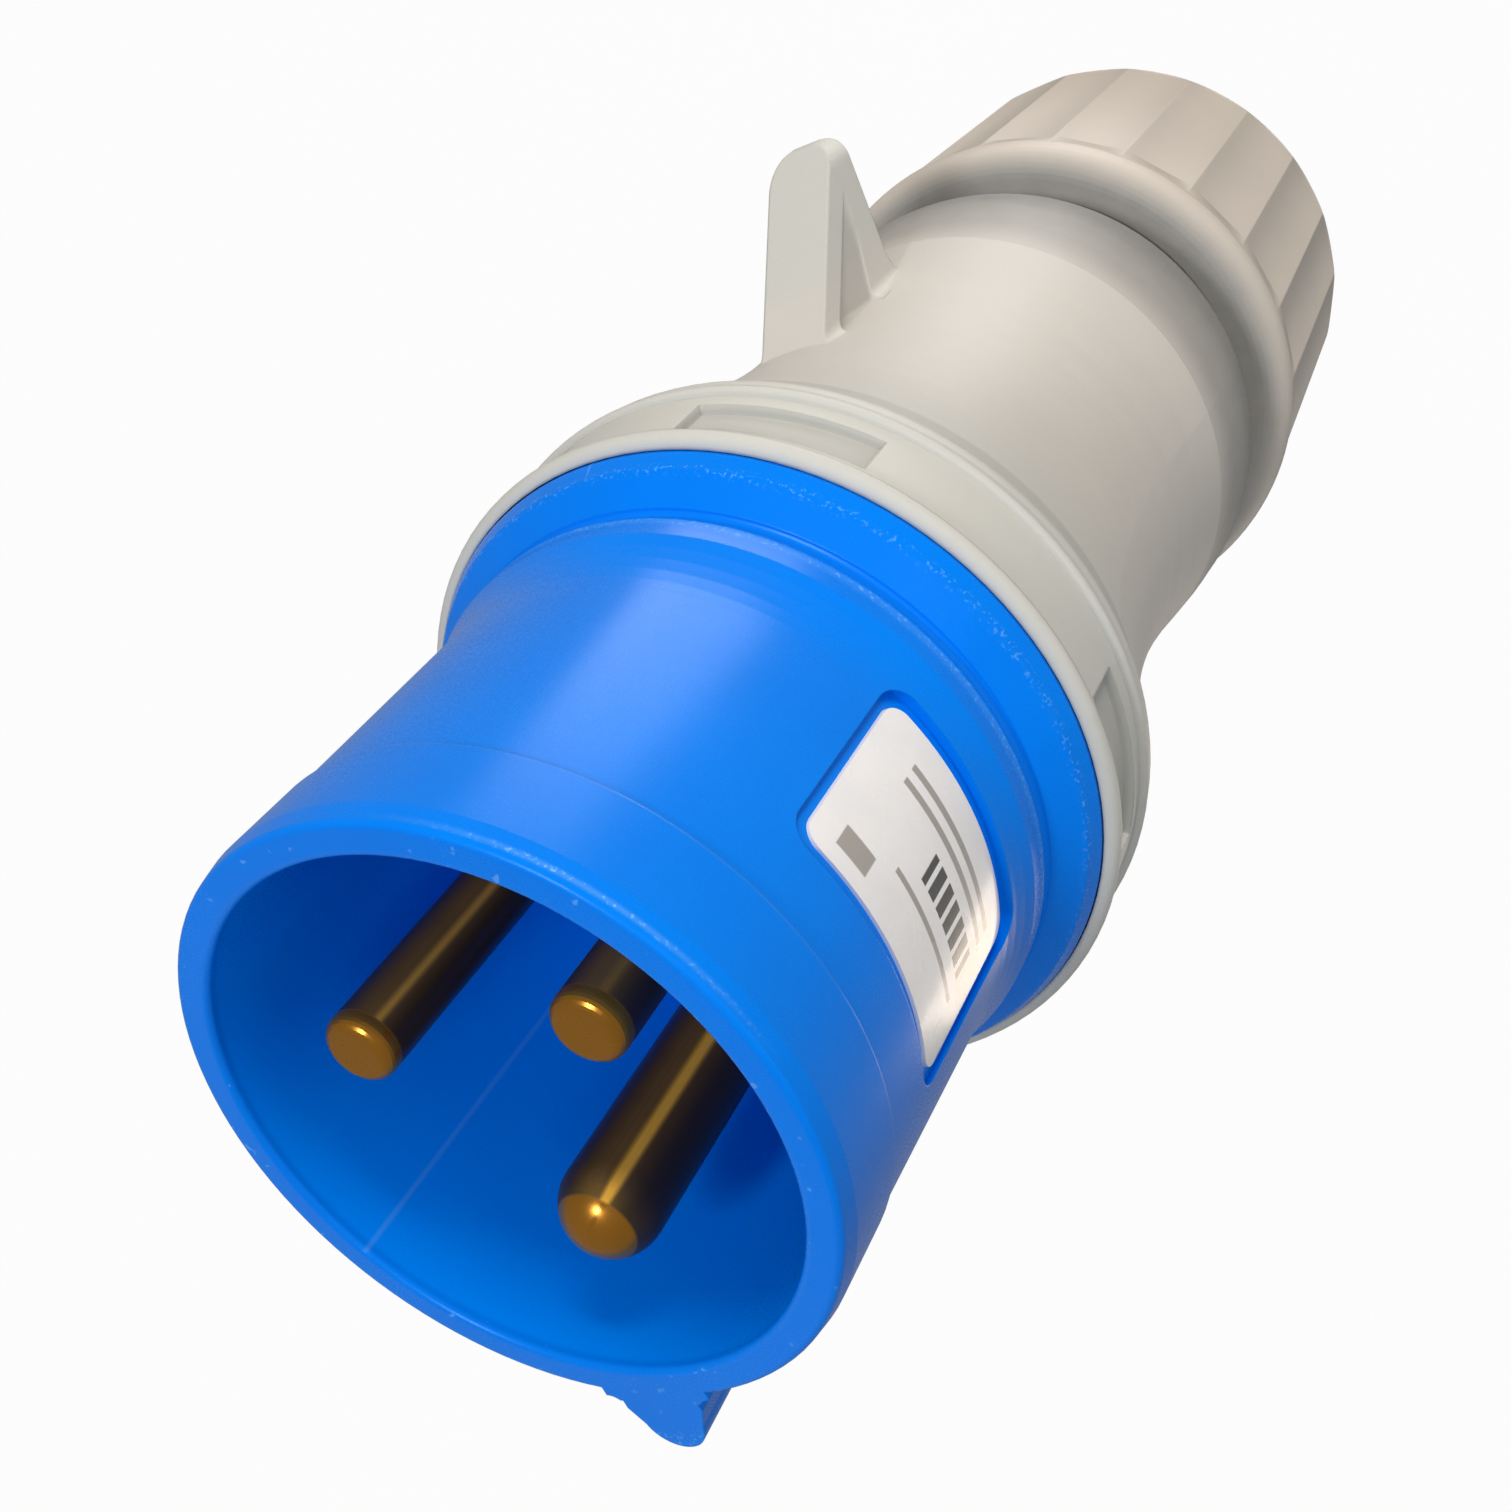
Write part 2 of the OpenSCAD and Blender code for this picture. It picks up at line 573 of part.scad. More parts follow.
module rear_housing() color([0.78, 0.77, 0.74]) difference() {
    union() {
        revolve(concat(
            [[r_core - 1, tail_start], [r_core, tail_start + 1], [r_core, z_shoulder - pilot_land - 1],
             [tail_radius, z_shoulder - pilot_land], [tail_radius, z_shoulder], [tail_radius + 0.5, z_shoulder]],
            arc([body_radius - shoulder_arc, z_wide], shoulder_arc, -shoulder_angle, 0, 9),
            [[body_radius - 0.3, z_wide + 4], [body_radius - 0.8, z_wide + 8],
             [neck_radius + 0.55, z_waist - 9], [neck_radius + 0.12, z_waist - 4]],
            arc([neck_radius + waist_sweep, z_waist], waist_sweep, 180, 180 - sweep_angle, 9),
            arc([collar_radius - rim_step - rim_round, z_collar_rear + 0.4 + rim_round], rim_round, -65, 0, 6),
            [[collar_radius - rim_step, z_channel_rear - 1.2]],
            arc([collar_radius - 0.4, z_channel_rear - 0.5], 0.4, -30, 0, 3),
            arc([collar_radius - 0.4, z_channel_rear - 0.4], 0.4, 0, 75, 4),
            [[r_channel, z_channel_rear], [r_channel, z_channel_front]],
            arc([r_lip + 0.1, z_collar - collar_bead], collar_bead, asin(-0.25), 90, 9),
            [[r_lip, z_collar], [r_lip, z_lip], [r_bore, z_lip], [r_bore, z_ledge], [r_waist_in + 2.6, z_ledge - 0.6],
             [r_waist_in, z_waist + 2], [r_waist_in, z_waist - 4], [r_wide_in, z_wide + 4], [r_wide_in, z_wide],
             [tail_bore + 0.6, z_shoulder], [tail_bore + 0.6, z_seal_top], [web_bore, z_seal_top], [web_bore, z_web],
             [tail_bore, z_web], [tail_bore, tail_start]]
        ));
        lid_lug();
    }
    // finger pockets in the channel
    for (a = [pocket_azimuth, 180 - pocket_azimuth, -14.5, 194.5])
        pocket(a);
    // bayonet groove behind the lugs and its entries
    for (i = [0:bayonet_count - 1]) {
        a = 45 + i * 360 / bayonet_count;
        ring_sector(r_bore - 0.5, spigot_radius + bayonet_depth + 0.1, z_spigot_end + 0.5,
            z_spigot_end + 0.7 + bayonet_height, a - bayonet_angle / 2 - 1, 2 * bayonet_angle + 6);
        ring_sector(r_bore - 0.5, spigot_radius + bayonet_depth + 0.1, z_spigot_end + 0.5,
            z_lip + 1, a - bayonet_angle - 2.5, bayonet_angle + 1.4);
    }
}

pocket_azimuth = 62.8;

module pocket(a) {
    half = pocket_angle / 2;
    far = 2 * collar_radius;
    zc = z_collar - 4.3;
    rotate(a) intersection() {
        translate([0, 0, zc - pocket_width / 2]) difference() {
            cylinder(r = collar_radius + 1, h = pocket_width);
            translate([0, 0, -1]) cylinder(r = r_channel - pocket_depth, h = pocket_width + 2);
        }
        translate([0, 0, zc - pocket_width]) linear_extrude(2 * pocket_width)
            polygon([[0, 0], [far * cos(half), -far * sin(half)], [far * cos(half), far * sin(half)]]);
    }
}

// ---------------------------------------------------------------- gland
washer_top = nut_end_wall + 0.05 + washer_thickness;
cone_low = cage_bore + 2;
cone_high = tail_bore - 0.5;
z_cone_low = washer_top + 0.65;
z_cone_high = tail_start - 1;

module clamping_cage() color([0.82, 0.82, 0.8]) difference() {
    revolve([[cage_bore, z_cone_low], [cone_low, z_cone_low], [cone_high, z_cone_high],
        [tail_bore - gland_clearance, z_cone_high + 1.5], [tail_bore - gland_clearance, z_web], [cage_bore, z_web]]);
    for (i = [0:finger_count - 1]) rotate(i * 360 / finger_count)
        translate([cage_bore - finger_slot, -finger_slot / 2, z_cone_low - finger_slot])
            cube([cage_wall + 2 * finger_slot, finger_slot, tail_start + finger_root - z_cone_low + finger_slot]);
}

module cable_seal() color([0.1, 0.1, 0.11]) {
    r = cage_bore - gland_clearance / 2;
    z0 = washer_top + soft_gap;
    revolve([[seal_bore + seal_chamfer, z0], [r - seal_edge, z0], [r, z0 + seal_edge], [r, z_seal_top - seal_edge / 2],
        [r - seal_edge, z_seal_top], [seal_bore + seal_chamfer, z_seal_top], [seal_bore, z_seal_top - seal_chamfer],
        [seal_bore, z0 + seal_chamfer]]);
}

module slip_washer() color([0.9, 0.9, 0.88]) translate([0, 0, nut_end_wall + 0.05]) difference() {
    cylinder(r = cone_low, h = washer_thickness);
    translate([0, 0, -1]) cylinder(r = nut_opening + 0.3, h = washer_thickness + 2);
}

flute_phase = 50.6;
z_flute_end = nut_length - nut_bead;
nut_slope = (nut_front_radius - 0.2 - nut_rear_radius) / (nut_length - 3.8 - nut_rear_round);

// radius of the nut side at height z
function nut_side(z) = nut_rear_radius + nut_slope * (z - nut_rear_round);

module flat_cutter() {
    // flat that follows the taper and runs out behind the front bead
    width = 2 * PI * nut_front_radius / flute_count;
    translate([0, width / 2, 0]) rotate([90, 0, 0]) linear_extrude(width)
        polygon([[nut_side(-flute_runout) - flute_depth, -flute_runout], [nut_side(z_flute_end - flute_runout) - flute_depth, z_flute_end - flute_runout],
            [nut_side(z_flute_end) + 0.15, z_flute_end], [nut_front_radius + flute_runout, z_flute_end],
            [nut_front_radius + flute_runout, -flute_runout]]);
}

module gland_nut() color([0.78, 0.77, 0.74]) difference() {
    revolve(concat(
        [[nut_opening, 0]],
        arc([nut_rear_radius - nut_rear_round, nut_rear_round], nut_rear_round, -90, 0, 7),
        [[nut_front_radius - 0.2, nut_length - 3.8], [nut_front_radius, nut_length - 3]],
        arc([nut_front_radius - nut_front_round, nut_length - nut_front_round], nut_front_round, 0, 90, 8),
        [[tail_radius + gland_clearance + 0.5, nut_length], [tail_radius + gland_clearance, nut_length - 0.5],
         [tail_radius + gland_clearance, z_cone_high], [cone_high + soft_gap, z_cone_high],
         [cone_low + soft_gap, z_cone_low], [cone_low + 0.2, z_cone_low - 0.5], [cone_low + 0.2, nut_end_wall],
         [nut_opening, nut_end_wall]]
    ));
    for (i = [0:flute_count - 1]) rotate((i + 0.5) * 360 / flute_count + flute_phase) flat_cutter();
}

// ---------------------------------------------------------------- parts
front_shell();
rating_label();
contact_block();
line_pin();
neutral_pin();
earth_pin();
line_clamp_plate();
neutral_clamp_plate();
earth_clamp_plate();
line_screw();
neutral_screw();
earth_screw();
block_screw_left();
block_screw_right();
contact_retainer();
retainer_screw();
housing_gasket();
rear_housing();
clamping_cage();
cable_seal();
slip_washer();
gland_nut();
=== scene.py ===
"""Dresses, lights and frames an industrial pin and sleeve plug.

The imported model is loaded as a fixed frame, standing on the rear face of its gland nut with its
mouth up. Each sub-assembly is a class that gives its nodes their finish and models the small
pieces that the frame leaves out. All sizes in the classes are millimetres.
"""

import logging
import math
from dataclasses import dataclass, field
from enum import Enum
from typing import Any, Callable, Union

import bmesh
import bpy
from mathutils import Matrix, Vector


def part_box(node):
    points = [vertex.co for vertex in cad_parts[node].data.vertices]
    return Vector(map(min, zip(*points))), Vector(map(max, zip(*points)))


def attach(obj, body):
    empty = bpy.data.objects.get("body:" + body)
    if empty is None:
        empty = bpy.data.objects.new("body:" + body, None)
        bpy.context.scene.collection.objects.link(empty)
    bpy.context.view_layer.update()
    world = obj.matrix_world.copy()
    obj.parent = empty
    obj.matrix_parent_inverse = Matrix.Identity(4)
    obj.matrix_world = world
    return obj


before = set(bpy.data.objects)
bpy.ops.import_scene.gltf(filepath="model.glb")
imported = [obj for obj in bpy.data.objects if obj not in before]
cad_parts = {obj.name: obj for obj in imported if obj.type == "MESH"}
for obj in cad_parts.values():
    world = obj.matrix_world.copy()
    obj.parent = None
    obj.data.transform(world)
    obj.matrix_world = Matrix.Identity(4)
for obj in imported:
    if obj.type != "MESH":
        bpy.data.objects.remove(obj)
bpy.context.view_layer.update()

logging.basicConfig(level=logging.INFO, format="%(message)s")
LOG = logging.getLogger("plug")
MM = 0.001
Colour = tuple[float, float, float]
Point = tuple[float, float, float]
Number = Union[int, float, "Value"]
Block = tuple[float, float, float, float]
WHITE: Colour = (1.0, 1.0, 1.0)
TURN = 360.0  # degrees
WELD = 1e-7  # metres within which two vertices are one
TOUCH = 0.01  # millimetres within which a point is at a radius
FACING = 0.9  # a face looks along an axis when this much of its normal does
SMOOTH_ANGLE = math.radians(35)  # sharper edges than this stay hard


class Body(Enum):
    """The bodies of the frame that new pieces ride on."""

    PLUG = "plug"
    NUT = "nut"


class Slot(Enum):
    """The record's material slots that new pieces are passed with; nothing reads them."""

    SHELL = "shell_blue"
    HOUSING = "housing_grey"


# ------------------------------------------------------------------ shader maths


class Value:
    """A number that varies over a surface; sums on it add Math nodes."""

    def __init__(self, graph: "Graph", socket: bpy.types.NodeSocket) -> None:
        """Keeps the socket and the graph that it belongs to."""
        self.graph = graph
        self.socket = socket

    def math(self, operation: str, *rest: Number) -> "Value":
        """Adds one Math node that starts from this value."""
        return self.graph.math(operation, self, *rest)

    def __add__(self, other: Number) -> "Value":
        """This plus other."""
        return self.math("ADD", other)

    def __radd__(self, other: Number) -> "Value":
        """Other plus this."""
        return self.math("ADD", other)

    def __sub__(self, other: Number) -> "Value":
        """This minus other."""
        return self.math("SUBTRACT", other)

    def __rsub__(self, other: Number) -> "Value":
        """Other minus this."""
        return self.graph.math("SUBTRACT", other, self)

    def __mul__(self, other: Number) -> "Value":
        """This times other."""
        return self.math("MULTIPLY", other)

    def __rmul__(self, other: Number) -> "Value":
        """Other times this."""
        return self.math("MULTIPLY", other)

    def __truediv__(self, other: Number) -> "Value":
        """This over other."""
        return self.math("DIVIDE", other)

    def __abs__(self) -> "Value":
        """The size of this without its sign."""
        return self.math("ABSOLUTE")

    def above(self, edge: float, soft: float = 0.0) -> "Value":
        """A mask that is 1 above an edge and 0 below it.

        Args:
            edge: where the mask changes.
            soft: half the width of the change; 0 is a hard edge.

        Returns:
            The mask.
        """
        if soft <= 0:
            return self.math("GREATER_THAN", edge)
        ramp = self.graph.add(
            "ShaderNodeMapRange",
            {"interpolation_type": "SMOOTHSTEP"},
            {"Value": self, "From Min": edge - soft, "From Max": edge + soft},
        )
        return Value(self.graph, ramp.outputs["Result"])

    def below(self, edge: float, soft: float = 0.0) -> "Value":
        """A mask that is 1 below an edge and 0 above it."""
        return 1 - self.above(edge, soft)

    def between(self, low: float, high: float, soft: float = 0.0) -> "Value":
        """A mask that is 1 from low to high."""
        return self.above(low, soft) * self.below(high, soft)

    def near(self, middle: float, reach: float) -> "Value":
        """A mask that falls smoothly from 1 at the middle to 0 at a reach on each side."""
        return abs(self - middle).below(reach / 2, reach / 2)


class Graph:
    """The node tree of one material, or of the world."""

    def __init__(self, owner: bpy.types.Material | bpy.types.World) -> None:
        """Empties the owner's node tree."""
        self.owner = owner
        self.owner.use_nodes = True
        self.tree = self.owner.node_tree
        self.tree.nodes.clear()

    def add(
        self,
        kind: str,
        settings: dict[str, Any] | None = None,
        inputs: dict[int | str, Any] | None = None,
    ) -> bpy.types.Node:
        """Adds one node.

        Args:
            kind: the node's type.
            settings: its own settings, such as an operation, which are set first.
            inputs: socket name or number to a value, a Value or another node's socket.

        Returns:
            The node.
        """
        node = self.tree.nodes.new(kind)
        for key, setting in (settings or {}).items():
            setattr(node, key, setting)
        for key, value in (inputs or {}).items():
            source = value.socket if isinstance(value, Value) else value
            if isinstance(source, bpy.types.NodeSocket):
                self.tree.links.new(source, node.inputs[key])
            elif isinstance(source, tuple) and len(source) == 3 and node.inputs[key].type == "RGBA":
                node.inputs[key].default_value = (*source, 1.0)
            else:
                node.inputs[key].default_value = source
        return node

    def math(self, operation: str, *terms: Number) -> Value:
        """Adds one Math node over the terms."""
        node = self.add("ShaderNodeMath", {"operation": operation}, dict(enumerate(terms)))
        return Value(self, node.outputs["Value"])

    def blend(self, factor: Number, a: Any, b: Any) -> bpy.types.NodeSocket:
        """Mixes two colours.

        Args:
            factor: 0 is all of a, 1 is all of b.
            a: a colour or a colour socket.
            b: a colour or a colour socket.

        Returns:
            The mixed colour's socket.
        """
        node = self.add(
            "ShaderNodeMix",
            {"data_type": "RGBA", "blend_type": "MIX", "clamp_factor": True},
            {0: factor, 6: a, 7: b},
        )
        return node.outputs[2]

    def stretch(self, point: bpy.types.NodeSocket, scale: Point) -> bpy.types.NodeSocket:
        """Scales a vector by a different number on each axis."""
        node = self.add("ShaderNodeVectorMath", {"operation": "MULTIPLY"}, {0: point, 1: scale})
        return node.outputs["Vector"]

    def noise(self, point: bpy.types.NodeSocket, scale: float, detail: float = 2.0) -> Value:
        """A noise from 0 to 1, with a scale in features per millimetre."""
        node = self.add(
            "ShaderNodeTexNoise", {}, {"Vector": point, "Scale": scale, "Detail": detail}
        )
        return Value(self, node.outputs["Fac"])

    def cells(self, point: bpy.types.NodeSocket, scale: float) -> Value:
        """The distance to the nearest of scattered points, in cells."""
        node = self.add("ShaderNodeTexVoronoi", {}, {"Vector": point, "Scale": scale})
        return Value(self, node.outputs["Distance"])

    def bump(self, height: Value, depth: float, normal: Any = None) -> bpy.types.NodeSocket:
        """Turns a height from 0 to 1 into a normal.

        Args:
            height: the relief.
            depth: how high 1 stands, in millimetres.
            normal: the normal that it starts from.

        Returns:
            The normal's socket.
        """
        inputs: dict[int | str, Any] = {"Height": height, "Distance": depth * MM, "Strength": 1.0}
        if normal is not None:
            inputs["Normal"] = normal
        return self.add("ShaderNodeBump", {}, inputs).outputs["Normal"]

    def rounded(self, radius: float) -> bpy.types.NodeSocket:
        """A normal that is rounded over edges, with a radius in millimetres."""
        node = self.add("ShaderNodeBevel", {"samples": 6}, {"Radius": radius * MM})
        return node.outputs["Normal"]

    def mix(
        self, share: Value, a: bpy.types.NodeSocket, b: bpy.types.NodeSocket
    ) -> bpy.types.NodeSocket:
        """Mixes two shaders: a share of 0 is all of a, and 1 is all of b."""
        return self.add("ShaderNodeMixShader", {}, {0: share, 1: a, 2: b}).outputs["Shader"]

    def seen(self, direct: float, mirrored: float) -> Value:
        """How much shows in the camera's own view, and in mirrors and glass."""
        rays = self.add("ShaderNodeLightPath").outputs
        glossy = Value(self, rays["Is Glossy Ray"]) + Value(self, rays["Is Transmission Ray"])
        return Value(self, rays["Is Camera Ray"]) * direct + glossy * mirrored

    def close(self, shader: bpy.types.NodeSocket, output: str = "ShaderNodeOutputMaterial") -> Any:
        """Joins the shader to the output and gives the material or the world."""
        self.add(output, {}, {"Surface": shader})
        return self.owner


class Place:
    """Where a point of a piece is, in millimetres, about the plug's axis."""

    def __init__(self, graph: Graph) -> None:
        """Adds the nodes that split the Object coordinates."""
        here = graph.add("ShaderNodeTexCoord").outputs["Object"]
        scaled = graph.add(
            "ShaderNodeVectorMath", {"operation": "SCALE"}, {0: here, "Scale": 1 / MM}
        )
        self.point = scaled.outputs["Vector"]
        split = graph.add("ShaderNodeSeparateXYZ", {}, {0: self.point})
        self.x, self.y, self.z = (Value(graph, split.outputs[i]) for i in range(3))
        self.radius = (self.x * self.x + self.y * self.y).math("SQRT")
        self.azimuth = graph.math("ARCTAN2", self.y, self.x) * math.degrees(1)


# ------------------------------------------------------------------ finishes


class Finish:
    """A surface finish that makes its own material."""

    name = "finish"

    def sockets(self, graph: Graph, place: Place) -> dict[str, Any]:
        """The Principled shader's inputs for this finish."""
        raise NotImplementedError

    def material(self) -> bpy.types.Material:
        """Builds the material."""
        graph = Graph(bpy.data.materials.new(self.name))
        shader = graph.add("ShaderNodeBsdfPrincipled", {}, self.sockets(graph, Place(graph)))
        return graph.close(shader.outputs["BSDF"])


@dataclass(frozen=True)
class ShellPlastic(Finish):
    """Blue semi-gloss moulding, with painted highlights along its edges, pale nicks on its rim and
    painted light inside its mouth.
    """

    name: str = "shell plastic"
    colour: Colour = (0.0, 0.21, 0.89)
    deep: Colour = (0.0, 0.188, 0.83)
    # painted light: the lighter blue laid inside the mouth
    painted_inner_light: Colour = (0.0, 0.255, 1.0)
    worn_and_highlight: Colour = (0.2, 0.52, 1.0)
    gleam: Colour = (0.36, 0.56, 0.95)
    mouth: float = 141.1
    rim_depth: float = 0.62
    nicked_depth: float = 0.75
    painted_light_depth: float = 0.8
    band_length: float = 7.5
    inner_radius: float = 19.7
    outer_radius: float = 22.05
    flange: float = 106.8
    ridge_rise: float = 1.7
    ridge_step: float = 0.8
    corner_drop: float = 1.9
    corner_step: float = 3.2
    rim_highlight_azimuth: float = 44.0
    rim_highlight_reach: float = 38.0
    far_rim_highlight_azimuth: float = -118.0
    far_rim_highlight_reach: float = 30.0
    seam_azimuth: float = -151.5
    seam_reach: float = 0.9
    parting_reach: float = 0.16
    grain_depth: float = 0.012
    edge_radius: float = 0.12

    def wear_and_edge_highlights(self, graph: Graph, place: Place) -> Value:
        """How strong the painted highlights along the rim, the band's step, the ridge and the
        flange's corner are, with the rim's nicks, from 0 to 1.
        """
        flecks = graph.noise(place.point, 3.6, 4).above(0.6, 0.05)
        # painted highlight along the rim's outer rounding, strongest round two azimuths
        rim_highlit = place.azimuth.near(self.rim_highlight_azimuth, self.rim_highlight_reach)
        far_rim_highlit = place.azimuth.near(self.far_rim_highlight_azimuth, self.far_rim_highlight_reach)
        rim = place.z.near(self.mouth - self.rim_depth, 0.3)
        rim = rim * place.radius.above(self.outer_radius - 0.45, 0.1) * (rim_highlit + 0.35 * far_rim_highlit)
        nicks = graph.noise(place.point, 1.1, 2).above(0.71, 0.03)
        nicks = nicks * place.z.above(self.mouth - self.nicked_depth, 0.15)
        step = place.z.near(self.mouth - self.band_length, 0.28)
        step = step * place.radius.above(self.outer_radius - 0.4)
        ridge = place.z.near(self.flange + self.ridge_rise, 0.6)
        ridge = ridge * place.radius.above(self.outer_radius + self.ridge_step, 0.2)
        corner = place.z.above(self.flange - self.corner_drop, 0.2)
        corner = corner * place.radius.above(self.outer_radius + self.corner_step, 0.3)
        # painted highlights on the rim, the ridge, the flange's corner and the band's step; the
        # nicks are real scuffs
        edges = rim * (0.25 + 0.65 * flecks) + ridge * (0.12 + 0.4 * flecks)
        return edges + corner * flecks * 0.35 + nicks * 0.4 + step * 0.16

    def sockets(self, graph: Graph, place: Place) -> dict[str, Any]:
        """Mottled blue, painted light inside the mouth, edges flecked with painted highlights and
        nicks, parting seams and a fine satin grain.
        """
        cloud = graph.noise(place.point, 0.06, 3)
        grain = graph.noise(place.point, 9.0, 2)
        within = place.radius.below(self.inner_radius + 0.2)
        seam = place.azimuth.near(self.seam_azimuth, self.seam_reach) * within
        parting = place.x.near(0.0, self.parting_reach)
        parting = parting * place.radius.above(self.outer_radius + 1.0)
        parting = parting * place.z.below(self.flange - 2.0, 0.5)
        body = graph.blend(cloud.above(0.5, 0.3), self.deep, self.colour)
        # painted light: a lighter blue inside the mouth, below its rim
        inside = within * place.z.below(self.mouth - self.painted_light_depth, 0.3)
        body = graph.blend(inside, body, self.painted_inner_light)
        pale = self.wear_and_edge_highlights(graph, place) + seam * 0.17 + parting * 0.3
        relief = grain * 0.5 + seam + parting
        return {
            "Base Color": graph.blend(pale, body, self.worn_and_highlight),
            "Roughness": 0.2 + 0.08 * cloud + 0.06 * grain,
            "IOR": 1.42,
            "Specular IOR Level": 0.36,
            "Specular Tint": self.gleam,
            "Normal": graph.bump(relief, self.grain_depth, graph.rounded(self.edge_radius)),
        }


@dataclass(frozen=True)
class HousingPlastic(Finish):
    """Warm light grey moulding with a spark-eroded grain."""

    name: str = "housing plastic"
    colour: Colour = (0.6, 0.585, 0.555)
    shade: Colour = (0.565, 0.555, 0.53)
    grain_depth: float = 0.012
    edge_radius: float = 0.35
    roughness: float = 0.5
    speck: Colour = (0.36, 0.35, 0.33)
    # painted shade: the dark grey laid in the hollows where shade falls
    dusty_and_painted_shade: Colour = (0.27, 0.275, 0.27)

    def tone(self, graph: Graph, place: Place, body: bpy.types.NodeSocket) -> bpy.types.NodeSocket:
        """The colour once any painted tint for the light on parts of the piece is laid on; the
        plain finish lays none.
        """
        return body

    def dust_and_painted_shade(self, graph: Graph, place: Place) -> Number:
        """How much painted shade darkens its hollows, from 0 to 1."""
        return 0.0

    def relief(self, graph: Graph, place: Place) -> tuple[Value, float]:
        """The piece's own relief.

        Args:
            graph: the finish's nodes.
            place: where the surface is.

        Returns:
            The height from 0 to 1, and how high 1 stands in millimetres.
        """
        return graph.noise(place.point, 5.0, 3), self.grain_depth

    def sockets(self, graph: Graph, place: Place) -> dict[str, Any]:
        """Faint flow clouds, a fine grain, softened edges and painted shade in the hollows."""
        cloud = graph.noise(place.point, 0.05, 3)
        grain = graph.noise(place.point, 5.0, 3)
        specks = graph.cells(place.point, 0.9).below(0.06, 0.03)
        body = graph.blend(cloud.above(0.5, 0.25), self.shade, self.colour)
        body = graph.blend(specks * 0.25, self.tone(graph, place, body), self.speck)
        height, depth = self.relief(graph, place)
        eased = graph.bump(grain, self.grain_depth, graph.rounded(self.edge_radius))
        return {
            # painted shade darkens the hollows that each piece picks
            "Base Color": graph.blend(self.dust_and_painted_shade(graph, place), body, self.dusty_and_painted_shade),
            "Roughness": self.roughness + 0.16 * grain,
            "IOR": 1.5,
            "Specular IOR Level": 0.4,
            "Normal": graph.bump(height, depth, eased),
        }


@dataclass(frozen=True)
class BodyPlastic(HousingPlastic):
    """The housing's plastic, with a drawn-in shoulder behind its body."""

    name: str = "body plastic"
    # painted light: the cooler grey that stands in for cooler light on the collar and the lug
    painted_cool_cast: Colour = (0.55, 0.57, 0.55)
    shoulder_edge: float = 52.0
    shoulder_foot: float = 37.0
    drop: float = 3.6
    body_reach: float = 25.0
    collar_rear: float = 84.0
    channel: tuple[float, float] = (90.0, 104.0)
    pocket_floor: float = 26.15
    neck_radius: float = 20.75
    lug_front: float = 76.0
    lug_rear: float = 58.0
    lug_half_width: float = 2.9
    ramp_back: float = 70.6
    ramp_slope: float = 1.119

    def tone(self, graph: Graph, place: Place, body: bpy.types.NodeSocket) -> bpy.types.NodeSocket:
        """A collar and a lid lug painted a little cooler than the body, a painted cast of the
        cooler light on them.
        """
        collar = place.z.above(self.collar_rear, 8.0)
        lug = place.radius.above(self.body_reach, 1.0) * place.z.below(self.lug_front, 4.0)
        # painted cast of cooler light on the collar and the lug
        return graph.blend((collar + lug) * 0.8, body, self.painted_cool_cast)

    def shoulder_painted_shade(self, place: Place) -> Value:
        """Painted shade that deepens down the shoulder, towards the nut."""
        edge = place.z.below(self.shoulder_edge - 1.5, 2.0) * 0.56
        foot = place.z.below(self.shoulder_edge - 6.5, 3.0) * 0.38
        return (edge + foot) * place.radius.below(self.body_reach, 0.5)

    def lug_painted_shade(self, place: Place) -> Value:
        """Painted shade in the lug's side hollows, behind the plate of its ramp."""
        lean = place.z + (place.y - self.neck_radius) * self.ramp_slope
        behind = lean.below(self.ramp_back, 0.15) * place.z.above(self.lug_rear, 0.5)
        inside = abs(place.x).below(self.lug_half_width, 0.15)
        return behind * inside * place.y.above(self.neck_radius + 0.55, 0.4)

    def dust_and_painted_shade(self, graph: Graph, place: Place) -> Number:
        """Patchy painted shade on the shoulder, in the collar's pockets and in the lug's hollows.
        """
        patchy = 0.85 + 0.3 * graph.noise(place.point, 0.4, 3)
        pockets = place.radius.below(self.pocket_floor, 0.2) * place.z.between(*self.channel, 0.5)
        return (self.shoulder_painted_shade(place) + pockets * 0.3 + self.lug_painted_shade(place) * 0.4) * patchy

    def relief(self, graph: Graph, place: Place) -> tuple[Value, float]:
        """A shoulder that falls away below a soft edge."""
        span = self.shoulder_edge - self.shoulder_foot
        fall = ((self.shoulder_edge - place.z) / span).math("MAXIMUM", 0.0).math("MINIMUM", 1.0)
        return 1 - fall, self.drop


@dataclass(frozen=True)
class NutPlastic(HousingPlastic):
    """The nut's plastic, a little hollow across each grip flat."""

    name: str = "nut plastic"
    colour: Colour = (0.64, 0.595, 0.54)
    shade: Colour = (0.6, 0.56, 0.51)
    edge_radius: float = 0.25
    flats: int = 22
    first_ridge: float = 50.6
    flat_start: float = 1.0
    flat_end: float = 30.6
    bore_radius: float = 20.0
    ledge_height: float = 33.4
    ledge_radius: float = 24.2
    hollow: float = 0.6

    def dust_and_painted_shade(self, graph: Graph, place: Place) -> Number:
        """Painted shade on the front ledge, beside the housing's shoulder."""
        patchy = 0.85 + 0.3 * graph.noise(place.point, 0.4, 3)
        ledge = place.z.above(self.ledge_height, 1.4) * place.radius.below(self.ledge_radius, 1.6)
        # painted shade on the ledge, where the collar and the housing shade it
        return ledge * patchy * 0.85

    def relief(self, graph: Graph, place: Place) -> tuple[Value, float]:
        """Scallops between the ridges that fade out at the front bead."""
        turn = (place.azimuth - self.first_ridge + 2 * TURN) * (self.flats / TURN)
        across = abs(turn - turn.math("FLOOR") - 0.5) * 2
        side = place.z.between(self.flat_start, self.flat_end, 1.0)
        side = side * place.radius.above(self.bore_radius, 0.5)
        return 1 - (1 - across * across) * side, self.hollow


